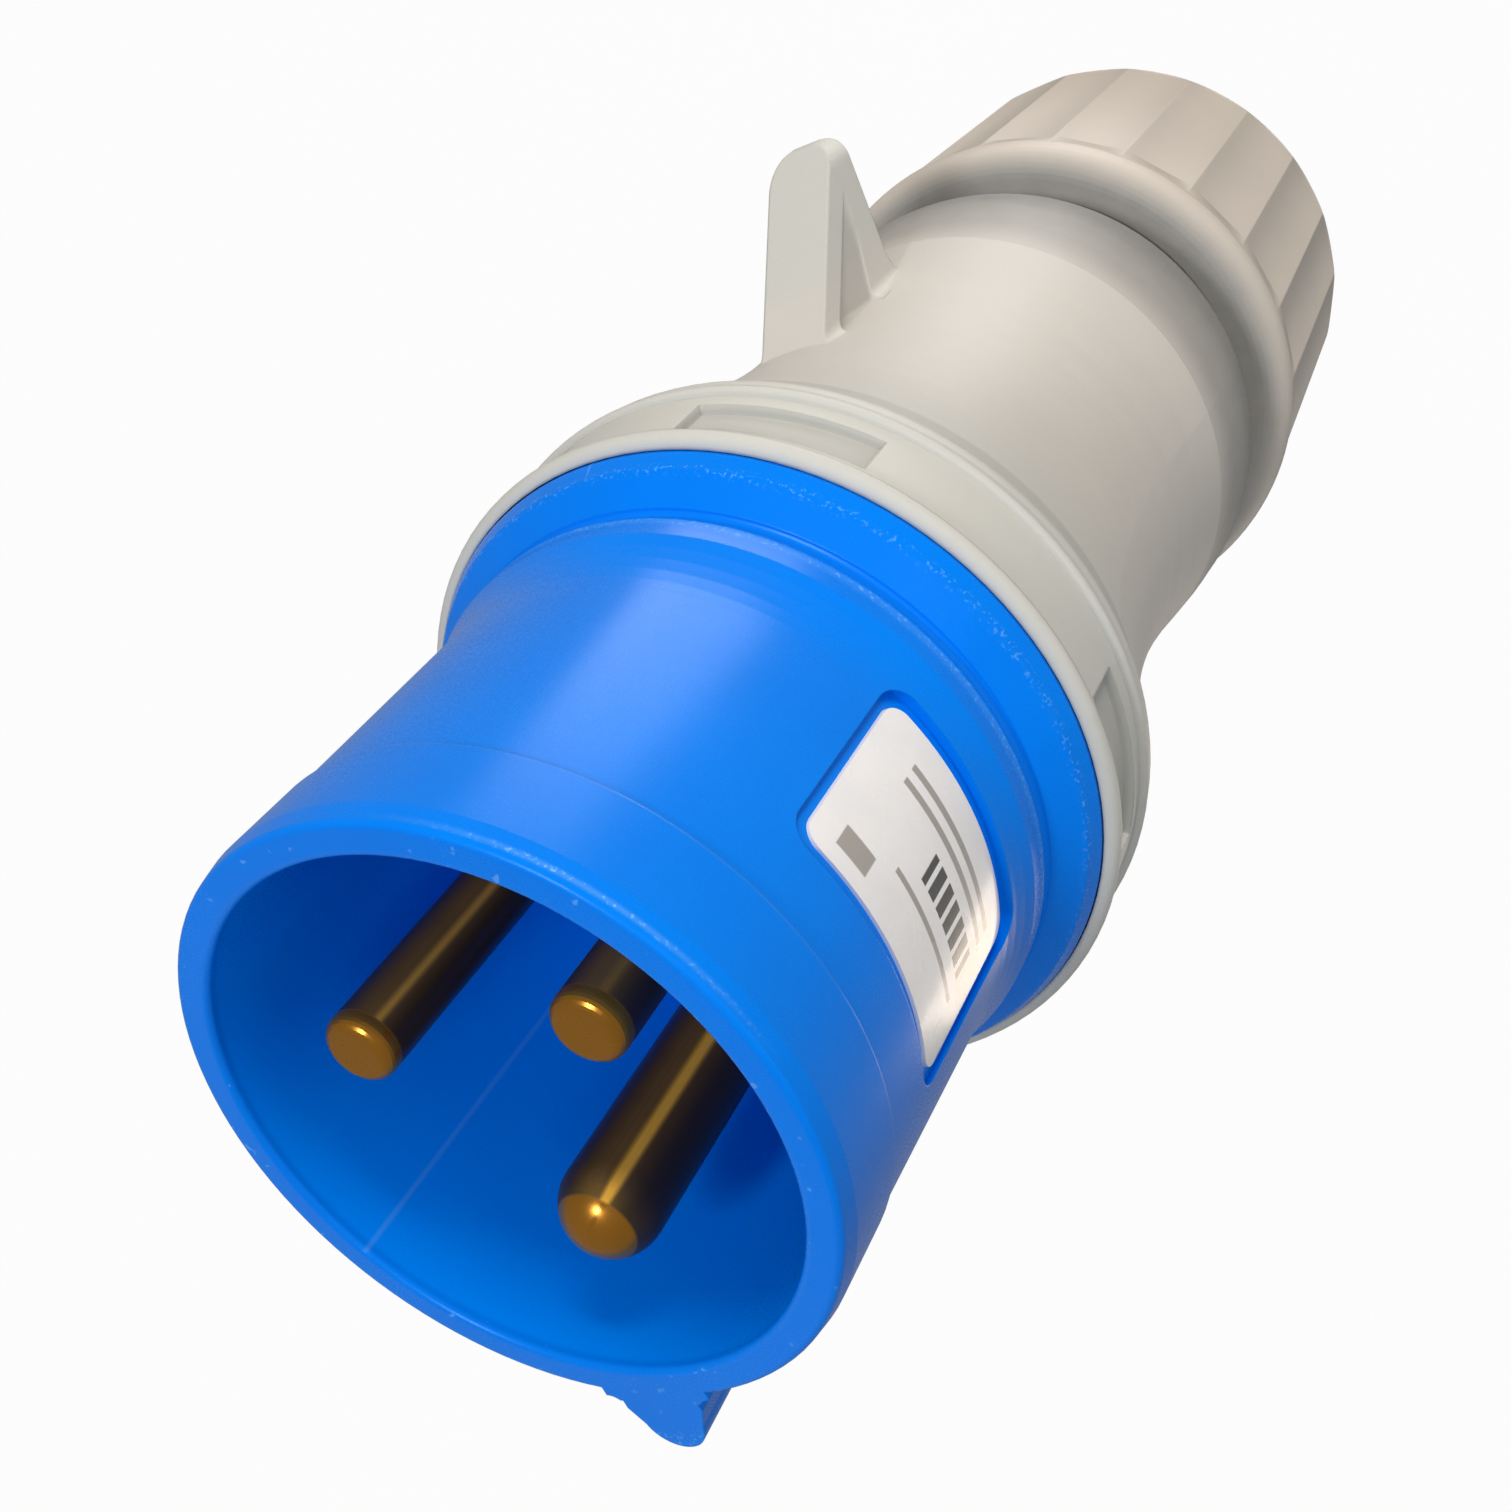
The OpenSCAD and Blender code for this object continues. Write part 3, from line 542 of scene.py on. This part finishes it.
@dataclass(frozen=True)
class GlandPlastic(HousingPlastic):
    """The paler plastic of the cage, the slip washer and the retainer."""

    name: str = "gland plastic"
    colour: Colour = (0.75, 0.74, 0.7)
    shade: Colour = (0.7, 0.69, 0.66)
    edge_radius: float = 0.15


@dataclass(frozen=True)
class PinBrass(Finish):
    """Drawn brass, browned on its sides, with a painted lit side and a painted highlight line along
    one side, and a paler turned tip.
    """

    name: str = "pin brass"
    x: float = 0.0
    y: float = 0.0
    top: float = 141.1
    # painted highlight: the pale line along one side of the pin
    painted_highlight_colour: Colour = (1.0, 0.52, 0.06)
    # painted light: the colour of the pin's lit side
    lit_side_colour: Colour = (0.2, 0.11, 0.02)
    brown: Colour = (0.045, 0.027, 0.01)
    tip: Colour = (0.47, 0.2, 0.02)
    tip_length: float = 1.3
    highlight_share: float = 0.5
    highlight_azimuth: float = 44.0
    highlight_reach: float = 11.0
    lit_side_azimuth: float = 58.0
    lit_side_reach: float = 52.0
    grain_depth: float = 0.004

    def sockets(self, graph: Graph, place: Place) -> dict[str, Any]:
        """Streaks along the pin, a painted lit side with a painted highlight line, tarnish clouds
        and a turned tip.
        """
        around = graph.math("ARCTAN2", place.y - self.y, place.x - self.x) * math.degrees(1)
        streak = graph.noise(graph.stretch(place.point, (5.0, 5.0, 0.06)), 1.0, 3)
        cloud = graph.noise(place.point, 0.45, 4)
        turned = graph.noise(graph.stretch(place.point, (0.0, 0.0, 11.0)), 1.0, 1)
        tip = place.z.above(self.top - self.tip_length, 0.12)
        # painted light on the pin's lit side
        lit_side = around.near(self.lit_side_azimuth, self.lit_side_reach)
        lit_side = lit_side * (0.5 + 0.5 * streak + 0.3 * cloud)
        # painted highlight line along the pin
        line = around.near(self.highlight_azimuth, self.highlight_reach)
        line = line * (1.0 + 0.6 * streak) * self.highlight_share
        sides = graph.blend(line, graph.blend(lit_side, self.brown, self.lit_side_colour), self.painted_highlight_colour)
        return {
            "Base Color": graph.blend(tip, sides, self.tip),
            "Metallic": 0.25 + 0.5 * tip,
            "Roughness": 0.28 + 0.14 * cloud - 0.08 * tip - 0.08 * line,
            "Normal": graph.bump((streak * 0.6 + turned * 0.4) * (1 - tip), self.grain_depth),
        }


@dataclass(frozen=True)
class ZincPlate(Finish):
    """Bright zinc plating with a blue passivation."""

    name: str = "zinc plate"
    colour: Colour = (0.62, 0.63, 0.66)
    tinge: Colour = (0.5, 0.55, 0.6)
    scratch_depth: float = 0.006
    edge_radius: float = 0.15

    def sockets(self, graph: Graph, place: Place) -> dict[str, Any]:
        """A cloudy tinge over fine scratches."""
        cloud = graph.noise(place.point, 0.5, 3)
        scratch = graph.noise(graph.stretch(place.point, (6.0, 0.8, 3.0)), 1.0, 3)
        return {
            "Base Color": graph.blend(cloud.above(0.5, 0.2), self.colour, self.tinge),
            "Metallic": 1.0,
            "Roughness": 0.28 + 0.2 * scratch,
            "Normal": graph.bump(scratch, self.scratch_depth, graph.rounded(self.edge_radius)),
        }


@dataclass(frozen=True)
class SealRubber(Finish):
    """Black rubber with moulded rings and a dusty bloom."""

    name: str = "seal rubber"
    colour: Colour = (0.018, 0.018, 0.02)
    bloom: Colour = (0.07, 0.07, 0.072)
    ring_rate: float = 5.2
    ring_height: float = 0.05

    def sockets(self, graph: Graph, place: Place) -> dict[str, Any]:
        """Dust over rings that run round the axis."""
        dust_and_painted_shade = graph.noise(place.point, 0.8, 4)
        rings = (place.radius * self.ring_rate).math("SINE") * 0.5 + 0.5
        return {
            "Base Color": graph.blend(dust_and_painted_shade.above(0.55, 0.15), self.colour, self.bloom),
            "Roughness": 0.62 + 0.2 * dust_and_painted_shade,
            "Specular IOR Level": 0.35,
            "Normal": graph.bump(rings * 0.7 + dust_and_painted_shade * 0.3, self.ring_height),
        }


@dataclass(frozen=True)
class BlockPlastic(Finish):
    """Dark glass-filled moulding with short fibres at its surface."""

    name: str = "block plastic"
    colour: Colour = (0.03, 0.035, 0.05)
    fibre: Colour = (0.085, 0.09, 0.105)
    grain_depth: float = 0.012
    edge_radius: float = 0.15

    def sockets(self, graph: Graph, place: Place) -> dict[str, Any]:
        """Fibres that lie in a matte skin."""
        fibres = graph.noise(graph.stretch(place.point, (7.0, 1.2, 4.0)), 1.0, 3).above(0.6, 0.06)
        grain = graph.noise(place.point, 6.0, 2)
        relief = grain * 0.6 + fibres * 0.4
        return {
            "Base Color": graph.blend(fibres * 0.7, self.colour, self.fibre),
            "Roughness": 0.5 + 0.15 * grain,
            "Normal": graph.bump(relief, self.grain_depth, graph.rounded(self.edge_radius)),
        }


@dataclass(frozen=True)
class LabelFilm(Finish):
    """White glossy film with plain printed bars and no words.

    A printed block is its low and high edge in millimetres about the middle of the label, then
    its first and last azimuth in degrees.
    """

    name: str = "label film"
    white: Colour = (0.9, 0.91, 0.93)
    hazed: Colour = (0.72, 0.74, 0.8)
    tinted: Colour = (0.8, 0.6, 0.42)
    ink: Colour = (0.03, 0.03, 0.035)
    grey: Colour = (0.32, 0.3, 0.28)
    middle: float = 120.55
    barred: Block = (-1.3, 1.3, -17.0, 3.0)
    bars_middle: float = -7.0
    bars_per_degree: float = 0.31
    bar_share: float = 0.34
    rows: tuple[Block, ...] = (
        (-3.1, -2.5, -18.0, 15.0),
        (-4.5, -3.9, -18.0, 15.0),
        (2.6, 3.1, -18.0, 8.0),
        (3.9, 5.7, 12.0, 19.0),
    )
    patch: Block = (-5.2, 1.6, -22.5, -15.0)
    ripple: float = 0.03

    def block(self, place: Place, edges: Block, soft: tuple[float, float] = (0.04, 0.15)) -> Value:
        """A mask over one printed block.

        Args:
            place: where the surface is.
            edges: the block.
            soft: half the width of its edges, in millimetres and in degrees.

        Returns:
            The mask.
        """
        low, high, first, last = edges
        upright = (place.z - self.middle).between(low, high, soft[0])
        return upright * place.azimuth.between(first, last, soft[1])

    def sockets(self, graph: Graph, place: Place) -> dict[str, Any]:
        """One row of broad bars and rows of thin ones under a clear coat."""
        pitch = (place.azimuth - self.bars_middle) * self.bars_per_degree
        bar = abs(pitch - pitch.math("ROUND")).below(self.bar_share, 0.02)
        bars = self.block(place, self.barred) * bar
        rows = sum(self.block(place, edges) for edges in self.rows)
        haze = graph.noise(place.point, 0.3, 3)
        paper = graph.blend(haze.above(0.5, 0.3) * 0.35, self.white, self.hazed)
        paper = graph.blend(self.block(place, self.patch, (0.5, 1.2)) * 0.55, paper, self.tinted)
        printed = graph.blend(rows * 0.9, paper, self.grey)
        return {
            "Base Color": graph.blend(bars * 0.96, printed, self.ink),
            "Roughness": 0.22 + 0.12 * haze,
            "Coat Weight": 0.5,
            "Coat Roughness": 0.12,
            "Normal": graph.bump(haze, self.ripple),
        }


@dataclass(frozen=True)
class FloorPaper(Finish):
    """Pale studio paper that is white to the eye and keeps a soft shadow."""

    name: str = "floor paper"
    dark: Colour = (0.3, 0.3, 0.3)
    light: Colour = (0.34, 0.34, 0.34)
    glow: float = 0.97
    mirror_glow: float = 0.12

    def material(self) -> bpy.types.Material:
        """Mixes lit paper with plain white for the camera, mirrors and glass."""
        graph = Graph(bpy.data.materials.new(self.name))
        tooth = graph.noise(Place(graph).point, 0.8, 3)
        paper = graph.blend(tooth, self.dark, self.light)
        lit = graph.add("ShaderNodeBsdfDiffuse", {}, {"Color": paper})
        white = graph.add("ShaderNodeEmission", {}, {"Color": WHITE, "Strength": 1.0})
        share = graph.seen(self.glow, self.mirror_glow)
        return graph.close(graph.mix(share, lit.outputs["BSDF"], white.outputs["Emission"]))


# ------------------------------------------------------------------ modelling by hand


class Bench:
    """The modelling steps that every new piece goes through."""

    @staticmethod
    def clear() -> None:
        """Leaves object mode with nothing selected."""
        if bpy.context.object and bpy.context.object.mode != "OBJECT":
            bpy.ops.object.mode_set(mode="OBJECT")
        bpy.ops.object.select_all(action="DESELECT")

    @staticmethod
    def begin(name: str) -> bpy.types.Object:
        """Names the primitive that was just added and gives it back."""
        piece = bpy.context.object
        piece.name = piece.data.name = name
        return piece

    @staticmethod
    def pick(piece: bpy.types.Object, test: Callable[[Vector], bool]) -> None:
        """Selects the faces whose normal passes a test, in edit mode."""
        bpy.ops.mesh.select_all(action="DESELECT")
        bpy.ops.mesh.select_mode(type="FACE")
        mesh = bmesh.from_edit_mesh(piece.data)
        mesh.normal_update()
        for face in mesh.faces:
            face.select_set(test(face.normal))
        bmesh.update_edit_mesh(piece.data)

    @staticmethod
    def modify(piece: bpy.types.Object, kind: str, **settings: Any) -> None:
        """Adds one modifier and applies it."""
        Bench.clear()
        piece.select_set(True)
        bpy.context.view_layer.objects.active = piece
        modifier = piece.modifiers.new(kind.lower(), kind)
        for key, setting in settings.items():
            setattr(modifier, key, setting)
        bpy.ops.object.modifier_apply(modifier=modifier.name)

    @staticmethod
    def finish(
        piece: bpy.types.Object, body: Body, slot: Slot, material: bpy.types.Material
    ) -> None:
        """Settles the piece at the origin, smooths it and joins it to its body.

        Args:
            piece: the new piece.
            body: the body that it rides on.
            slot: not used.
            material: its material.
        """
        Bench.clear()
        piece.select_set(True)
        bpy.context.view_layer.objects.active = piece
        bpy.ops.object.transform_apply(location=True, rotation=True, scale=True)
        bpy.ops.object.mode_set(mode="EDIT")
        bpy.ops.mesh.select_all(action="SELECT")
        bpy.ops.mesh.remove_doubles(threshold=WELD)
        bpy.ops.mesh.normals_make_consistent(inside=False)
        bpy.ops.object.mode_set(mode="OBJECT")
        bpy.ops.object.shade_smooth_by_angle(angle=SMOOTH_ANGLE)
        piece.data.materials.clear()
        piece.data.materials.append(material)
        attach(piece, body.value)
        LOG.info("piece %s: %d faces", piece.name, len(piece.data.polygons))
        Bench.clear()


@dataclass
class HelicalRib:
    """A thread: a rib of trapezoid section wound on a cylinder."""

    name: str
    root: float
    crest: float
    start: float
    turns: float
    pitch: float = 3.0
    root_width: float = 1.25
    crest_width: float = 0.55
    steps_per_turn: int = 60

    def build(self) -> bpy.types.Object:
        """Winds the section up the axis.

        Returns:
            The closed rib.
        """
        Bench.clear()
        bpy.ops.mesh.primitive_plane_add(size=1.0, location=(0, 0, 0))
        piece = Bench.begin(self.name)
        depth = abs(self.crest - self.root)
        bpy.ops.object.mode_set(mode="EDIT")
        bpy.ops.transform.resize(value=(depth * MM, self.root_width * MM, 1.0))
        bpy.ops.transform.rotate(
            value=-math.pi / 2, orient_axis="X", center_override=(0.0, 0.0, 0.0)
        )
        middle = (self.root + self.crest) / 2
        bpy.ops.transform.translate(value=(middle * MM, 0.0, self.start * MM))
        self._narrow_crest(piece)
        bpy.ops.object.mode_set(mode="OBJECT")
        steps = round(self.steps_per_turn * self.turns)
        Bench.modify(
            piece,
            "SCREW",
            angle=math.radians(TURN * self.turns),
            screw_offset=self.pitch * self.turns * MM,
            steps=steps,
            render_steps=steps,
            use_smooth_shade=False,
            use_merge_vertices=False,
        )
        bpy.ops.object.mode_set(mode="EDIT")
        bpy.ops.mesh.select_mode(type="VERT")
        bpy.ops.mesh.select_all(action="SELECT")
        bpy.ops.mesh.remove_doubles(threshold=WELD)
        self._pick_open_edges()
        bpy.ops.mesh.edge_face_add()
        self._pick_open_edges()
        bpy.ops.mesh.fill_holes(sides=8)
        bpy.ops.object.mode_set(mode="OBJECT")
        return piece

    @staticmethod
    def _pick_open_edges() -> None:
        """Selects the edges round the rib's open ends."""
        bpy.ops.mesh.select_all(action="DESELECT")
        bpy.ops.mesh.select_non_manifold(extend=False, use_wire=False, use_multi_face=False)

    def _narrow_crest(self, piece: bpy.types.Object) -> None:
        """Makes the section narrower at its crest than at its root."""
        bpy.ops.mesh.select_all(action="DESELECT")
        bpy.ops.mesh.select_mode(type="VERT")
        mesh = bmesh.from_edit_mesh(piece.data)
        for point in mesh.verts:
            point.select_set(abs(point.co.x / MM - self.crest) < TOUCH)
        bmesh.update_edit_mesh(piece.data)
        share = self.crest_width / self.root_width
        bpy.ops.transform.resize(
            value=(1.0, 1.0, share), center_override=(0.0, 0.0, self.start * MM)
        )


@dataclass
class WitnessRing:
    """A round ejector mark: a disc with a raised lip and a sunk middle."""

    name: str
    x: float
    y: float
    z: float
    radius: float = 1.5
    rise: float = 0.06
    lip_width: float = 0.22
    slope_width: float = 0.12
    sink_share: float = 0.6
    edge_width: float = 0.02
    sides: int = 40

    def build(self) -> bpy.types.Object:
        """Presses the mark out of a disc.

        Returns:
            The closed mark.
        """
        Bench.clear()
        bpy.ops.mesh.primitive_cylinder_add(
            vertices=self.sides,
            radius=self.radius * MM,
            depth=2 * self.rise * MM,
            location=(self.x * MM, self.y * MM, self.z * MM),
        )
        piece = Bench.begin(self.name)
        bpy.ops.object.transform_apply(location=True, rotation=True, scale=True)
        bpy.ops.object.mode_set(mode="EDIT")
        Bench.pick(piece, lambda normal: normal.z > FACING)
        bpy.ops.mesh.inset(thickness=self.lip_width * MM, depth=0)
        sink = self.sink_share * self.rise
        bpy.ops.mesh.inset(thickness=self.slope_width * MM, depth=-sink * MM)
        bpy.ops.object.mode_set(mode="OBJECT")
        Bench.modify(piece, "BEVEL", width=self.edge_width * MM, segments=2, limit_method="ANGLE")
        return piece


@dataclass
class PartingBead:
    """The thin line of flash that a mould leaves along the guide key."""

    name: str
    radius: float
    low: float
    high: float
    width: float = 0.14
    edge_width: float = 0.04
    end_share: float = 0.4
    end_stretch: float = 1.012

    def build(self) -> bpy.types.Object:
        """Draws the bead out of a bar.

        Returns:
            The closed bead.
        """
        Bench.clear()
        bpy.ops.mesh.primitive_cube_add(
            size=1.0, location=(0.0, -self.radius * MM, (self.low + self.high) / 2 * MM)
        )
        piece = Bench.begin(self.name)
        bpy.ops.transform.resize(
            value=(self.width * MM, self.width * MM, (self.high - self.low) * MM)
        )
        bpy.ops.object.transform_apply(location=True, rotation=True, scale=True)
        bpy.ops.object.mode_set(mode="EDIT")
        Bench.pick(piece, lambda normal: abs(normal.z) > FACING)
        bpy.ops.mesh.extrude_region_move(TRANSFORM_OT_translate={"value": (0.0, 0.0, 0.0)})
        bpy.ops.transform.resize(value=(self.end_share, self.end_share, self.end_stretch))
        bpy.ops.object.mode_set(mode="OBJECT")
        Bench.modify(piece, "BEVEL", width=self.edge_width * MM, segments=2, limit_method="ANGLE")
        return piece


# ------------------------------------------------------------------ sub-assemblies


def dress(material: bpy.types.Material, *nodes: str) -> None:
    """Gives CAD nodes one material.

    Args:
        material: the material.
        nodes: the names of the nodes.
    """
    for name in nodes:
        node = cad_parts[name]
        if not node.material_slots:
            node.data.materials.append(material)
        for slot in node.material_slots:
            slot.material = material
        LOG.info("node %s: %s", name, material.name)


@dataclass
class FrontShell:
    """The blue shell: shroud, ridge, flange and guide key, with its label."""

    mouth: float = field(default_factory=lambda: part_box("front_shell")[1][2] / MM)
    socket_depth: float = 36.0
    key_crest: float = 26.55
    key_foot: float = 107.6
    key_end: float = 0.4
    bead_sink: float = 0.03
    marks: tuple[tuple[float, float], ...] = ((15.2, -3.6), (-15.2, -3.6), (0.0, 14.6))

    def build(self, material: bpy.types.Material) -> None:
        """Models the marks that the mould leaves on the shell."""
        floor = self.mouth - self.socket_depth
        for number, (x, y) in enumerate(self.marks):
            ring = WitnessRing(f"ejector_mark_{number}", x, y, floor)
            Bench.finish(ring.build(), Body.PLUG, Slot.SHELL, material)
        crest, end = self.key_crest - self.bead_sink, self.mouth - self.key_end
        bead = PartingBead("key_parting_bead", crest, self.key_foot, end)
        Bench.finish(bead.build(), Body.PLUG, Slot.SHELL, material)

    def dress(self) -> bpy.types.Material:
        """Gives the shell and its label their finishes."""
        shell = ShellPlastic(mouth=self.mouth).material()
        dress(shell, "front_shell")
        dress(LabelFilm().material(), "rating_label")
        return shell


@dataclass
class ContactSet:
    """Pins, terminals, their screws and the block that carries them."""

    # how strong each pin's painted highlight line is
    highlight_share: tuple[tuple[str, float], ...] = (("line", 0.4), ("neutral", 0.12), ("earth", 1.0))
    screws: tuple[str, ...] = ("block_screw_left", "block_screw_right", "retainer_screw")

    def dress(self) -> None:
        """Gives the metal and the block their finishes."""
        zinc = []
        for pole, highlight_share in self.highlight_share:
            pin = f"{pole}_pin"
            (x0, y0, _), (x1, y1, top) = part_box(pin)
            x, y = (x0 + x1) / 2 / MM, (y0 + y1) / 2 / MM
            brass = PinBrass(name=f"{pin} brass", x=x, y=y, top=top / MM, highlight_share=highlight_share)
            dress(brass.material(), pin)
            zinc += [f"{pole}_screw", f"{pole}_clamp_plate"]
        dress(ZincPlate().material(), *zinc, *self.screws)
        dress(BlockPlastic().material(), "contact_block")


@dataclass
class RearHousing:
    """The grey housing with its lid lug and threaded tail."""

    thread_root: float = 19.25
    thread_crest: float = 19.93
    thread_start: float = 16.4
    thread_turns: float = 4.0

    def build(self, material: bpy.types.Material) -> None:
        """Winds the thread on the tail."""
        thread = HelicalRib(
            "tail_thread", self.thread_root, self.thread_crest, self.thread_start, self.thread_turns
        )
        Bench.finish(thread.build(), Body.PLUG, Slot.HOUSING, material)

    def dress(self) -> bpy.types.Material:
        """Gives the housing its finish."""
        grey = BodyPlastic().material()
        dress(grey, "rear_housing")
        return grey


@dataclass
class CableGland:
    """The gland nut, its slip washer, the clamping cage, the seals and the block's retainer."""

    thread_root: float = 20.12
    thread_crest: float = 19.46
    thread_start: float = 14.9
    thread_turns: float = 4.0

    def build(self, material: bpy.types.Material) -> None:
        """Winds the thread inside the nut, half a pitch from the tail's."""
        thread = HelicalRib(
            "nut_thread", self.thread_root, self.thread_crest, self.thread_start, self.thread_turns
        )
        Bench.finish(thread.build(), Body.NUT, Slot.HOUSING, material)

    def dress(self) -> bpy.types.Material:
        """Gives the gland's parts their finishes."""
        nut = NutPlastic().material()
        dress(nut, "gland_nut")
        dress(GlandPlastic().material(), "clamping_cage", "slip_washer", "contact_retainer")
        dress(SealRubber().material(), "cable_seal", "housing_gasket")
        return nut


# ------------------------------------------------------------------ studio


class Throw(Enum):
    """What a lamp gives: plain light, a highlight, or both."""

    LIGHT = "light"
    SHINE = "shine"
    BOTH = "both"


@dataclass
class Softbox:
    """A rectangular lamp, in metres and watts."""

    name: str
    centre: Point
    aim: Point
    size: tuple[float, float]
    power: float
    throw: Throw
    colour: Colour = WHITE

    def build(self) -> None:
        """Adds the lamp, unseen by the camera."""
        light = bpy.data.lights.new(self.name, "AREA")
        light.shape = "RECTANGLE"
        light.size, light.size_y = self.size
        light.energy = self.power
        light.color = self.colour
        lamp = bpy.data.objects.new(self.name, light)
        bpy.context.scene.collection.objects.link(lamp)
        lamp.location = self.centre
        towards = Vector(self.aim) - Vector(self.centre)
        lamp.rotation_euler = towards.to_track_quat("-Z", "Y").to_euler()
        lamp.visible_camera = False
        lamp.visible_glossy = self.throw is not Throw.LIGHT
        lamp.visible_diffuse = self.throw is not Throw.SHINE


def rig() -> tuple[Softbox, ...]:
    """The lamps: broad ones for plain light, and strips near the floor for the highlights."""
    return (
        Softbox(
            name="key",
            centre=(0.2, 0.37, 0.16),
            aim=(0.0, 0.0, 0.05),
            size=(0.16, 0.12),
            power=1.1,
            throw=Throw.LIGHT,
            colour=(1.0, 0.89, 0.77),
        ),
        Softbox(
            name="overhead",
            centre=(0.03, 0.19, 0.52),
            aim=(0.0, 0.0, 0.13),
            size=(0.07, 0.07),
            power=0.68,
            throw=Throw.BOTH,
        ),
        Softbox(
            name="front",
            centre=(0.2, 0.1, 0.42),
            aim=(0.0, 0.0, 0.13),
            size=(0.12, 0.12),
            power=0.25,
            throw=Throw.LIGHT,
        ),
        Softbox(
            name="fill",
            centre=(0.45, 0.0, 0.22),
            aim=(0.0, 0.0, 0.1),
            size=(0.4, 0.3),
            power=0.34,
            throw=Throw.LIGHT,
            colour=(1.0, 0.98, 0.96),
        ),
        Softbox(
            name="back",
            centre=(-0.34, -0.26, 0.3),
            aim=(0.0, 0.0, 0.07),
            size=(0.4, 0.3),
            power=0.75,
            throw=Throw.LIGHT,
        ),
        Softbox(
            name="low_strip",
            centre=(0.016, 0.13, 0.003),
            aim=(0.016, 0.13, 1.0),
            size=(0.09, 0.07),
            power=0.09,
            throw=Throw.SHINE,
        ),
        Softbox(
            name="side_strip",
            centre=(0.034, -0.1, 0.003),
            aim=(0.034, -0.1, 1.0),
            size=(0.05, 0.07),
            power=0.035,
            throw=Throw.SHINE,
            colour=(1.0, 0.84, 0.7),
        ),
        Softbox(
            name="near_strip",
            centre=(0.025, 0.065, 0.003),
            aim=(0.025, 0.065, 1.0),
            size=(0.036, 0.056),
            power=0.03,
            throw=Throw.SHINE,
        ),
    )


@dataclass
class Studio:
    """Floor, world, lamps and camera, in metres."""

    floor_size: float = 3.0
    floor_cuts: int = 3
    sky: Colour = (0.97, 0.985, 1.0)
    ambient: float = 0.22
    horizon: float = 0.975
    mirrored_horizon: float = 0.04
    lamps: tuple[Softbox, ...] = field(default_factory=rig)
    location: Point = (0.07635, 0.05239, 0.2019)
    right: Point = (0.81417, -0.41661, -0.40443)
    up: Point = (0.15202, 0.82519, -0.54401)
    back: Point = (0.56037, 0.38144, 0.73518)
    lens: float = 44.04
    sensor: float = 36.0
    shift: tuple[float, float] = (-0.0037037037, 0.0026455026)
    view_range: tuple[float, float] = (0.005, 20.0)

    def build(self) -> None:
        """Sets everything up around the plug."""
        self._floor()
        self._world()
        for lamp in self.lamps:
            lamp.build()
        self._camera()
        bpy.context.scene.view_settings.view_transform = "Standard"

    def _floor(self) -> None:
        """Lays a sheet of paper under the nut."""
        Bench.clear()
        bpy.ops.mesh.primitive_plane_add(size=self.floor_size, location=(0.0, 0.0, 0.0))
        floor = Bench.begin("studio_floor")
        bpy.ops.object.mode_set(mode="EDIT")
        bpy.ops.mesh.select_all(action="SELECT")
        bpy.ops.mesh.subdivide(number_cuts=self.floor_cuts)
        bpy.ops.object.mode_set(mode="OBJECT")
        floor.data.materials.append(FloorPaper().material())
        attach(floor, Body.NUT.value)  # the plug stands on its nut, so the sheet stays under it

    def _world(self) -> None:
        """Gives an even, plain sky that is white where it is seen."""
        graph = Graph(bpy.data.worlds.new("studio air"))
        soft = graph.add("ShaderNodeBackground", {}, {"Color": self.sky, "Strength": self.ambient})
        white = graph.add("ShaderNodeBackground", {}, {"Color": WHITE, "Strength": self.horizon})
        share = graph.seen(1.0, self.mirrored_horizon)
        shader = graph.mix(share, soft.outputs["Background"], white.outputs["Background"])
        bpy.context.scene.world = graph.close(shader, "ShaderNodeOutputWorld")

    def _camera(self) -> None:
        """Places the camera above the mouth, looking down along the plug."""
        lens = bpy.data.cameras.new("studio camera")
        lens.lens = self.lens
        lens.sensor_width = self.sensor
        lens.clip_start, lens.clip_end = self.view_range
        lens.shift_x, lens.shift_y = self.shift
        camera = bpy.data.objects.new("studio_camera", lens)
        bpy.context.scene.collection.objects.link(camera)
        turn = Matrix((self.right, self.up, self.back)).transposed()
        camera.matrix_world = Matrix.Translation(self.location) @ turn.to_4x4()
        bpy.context.scene.camera = camera


def main() -> None:
    """Builds and dresses each sub-assembly, then the studio."""
    shell, housing, gland = FrontShell(), RearHousing(), CableGland()
    shell.build(shell.dress())
    ContactSet().dress()
    housing.build(housing.dress())
    gland.build(gland.dress())
    Studio().build()


if __name__ == "__main__":
    main()
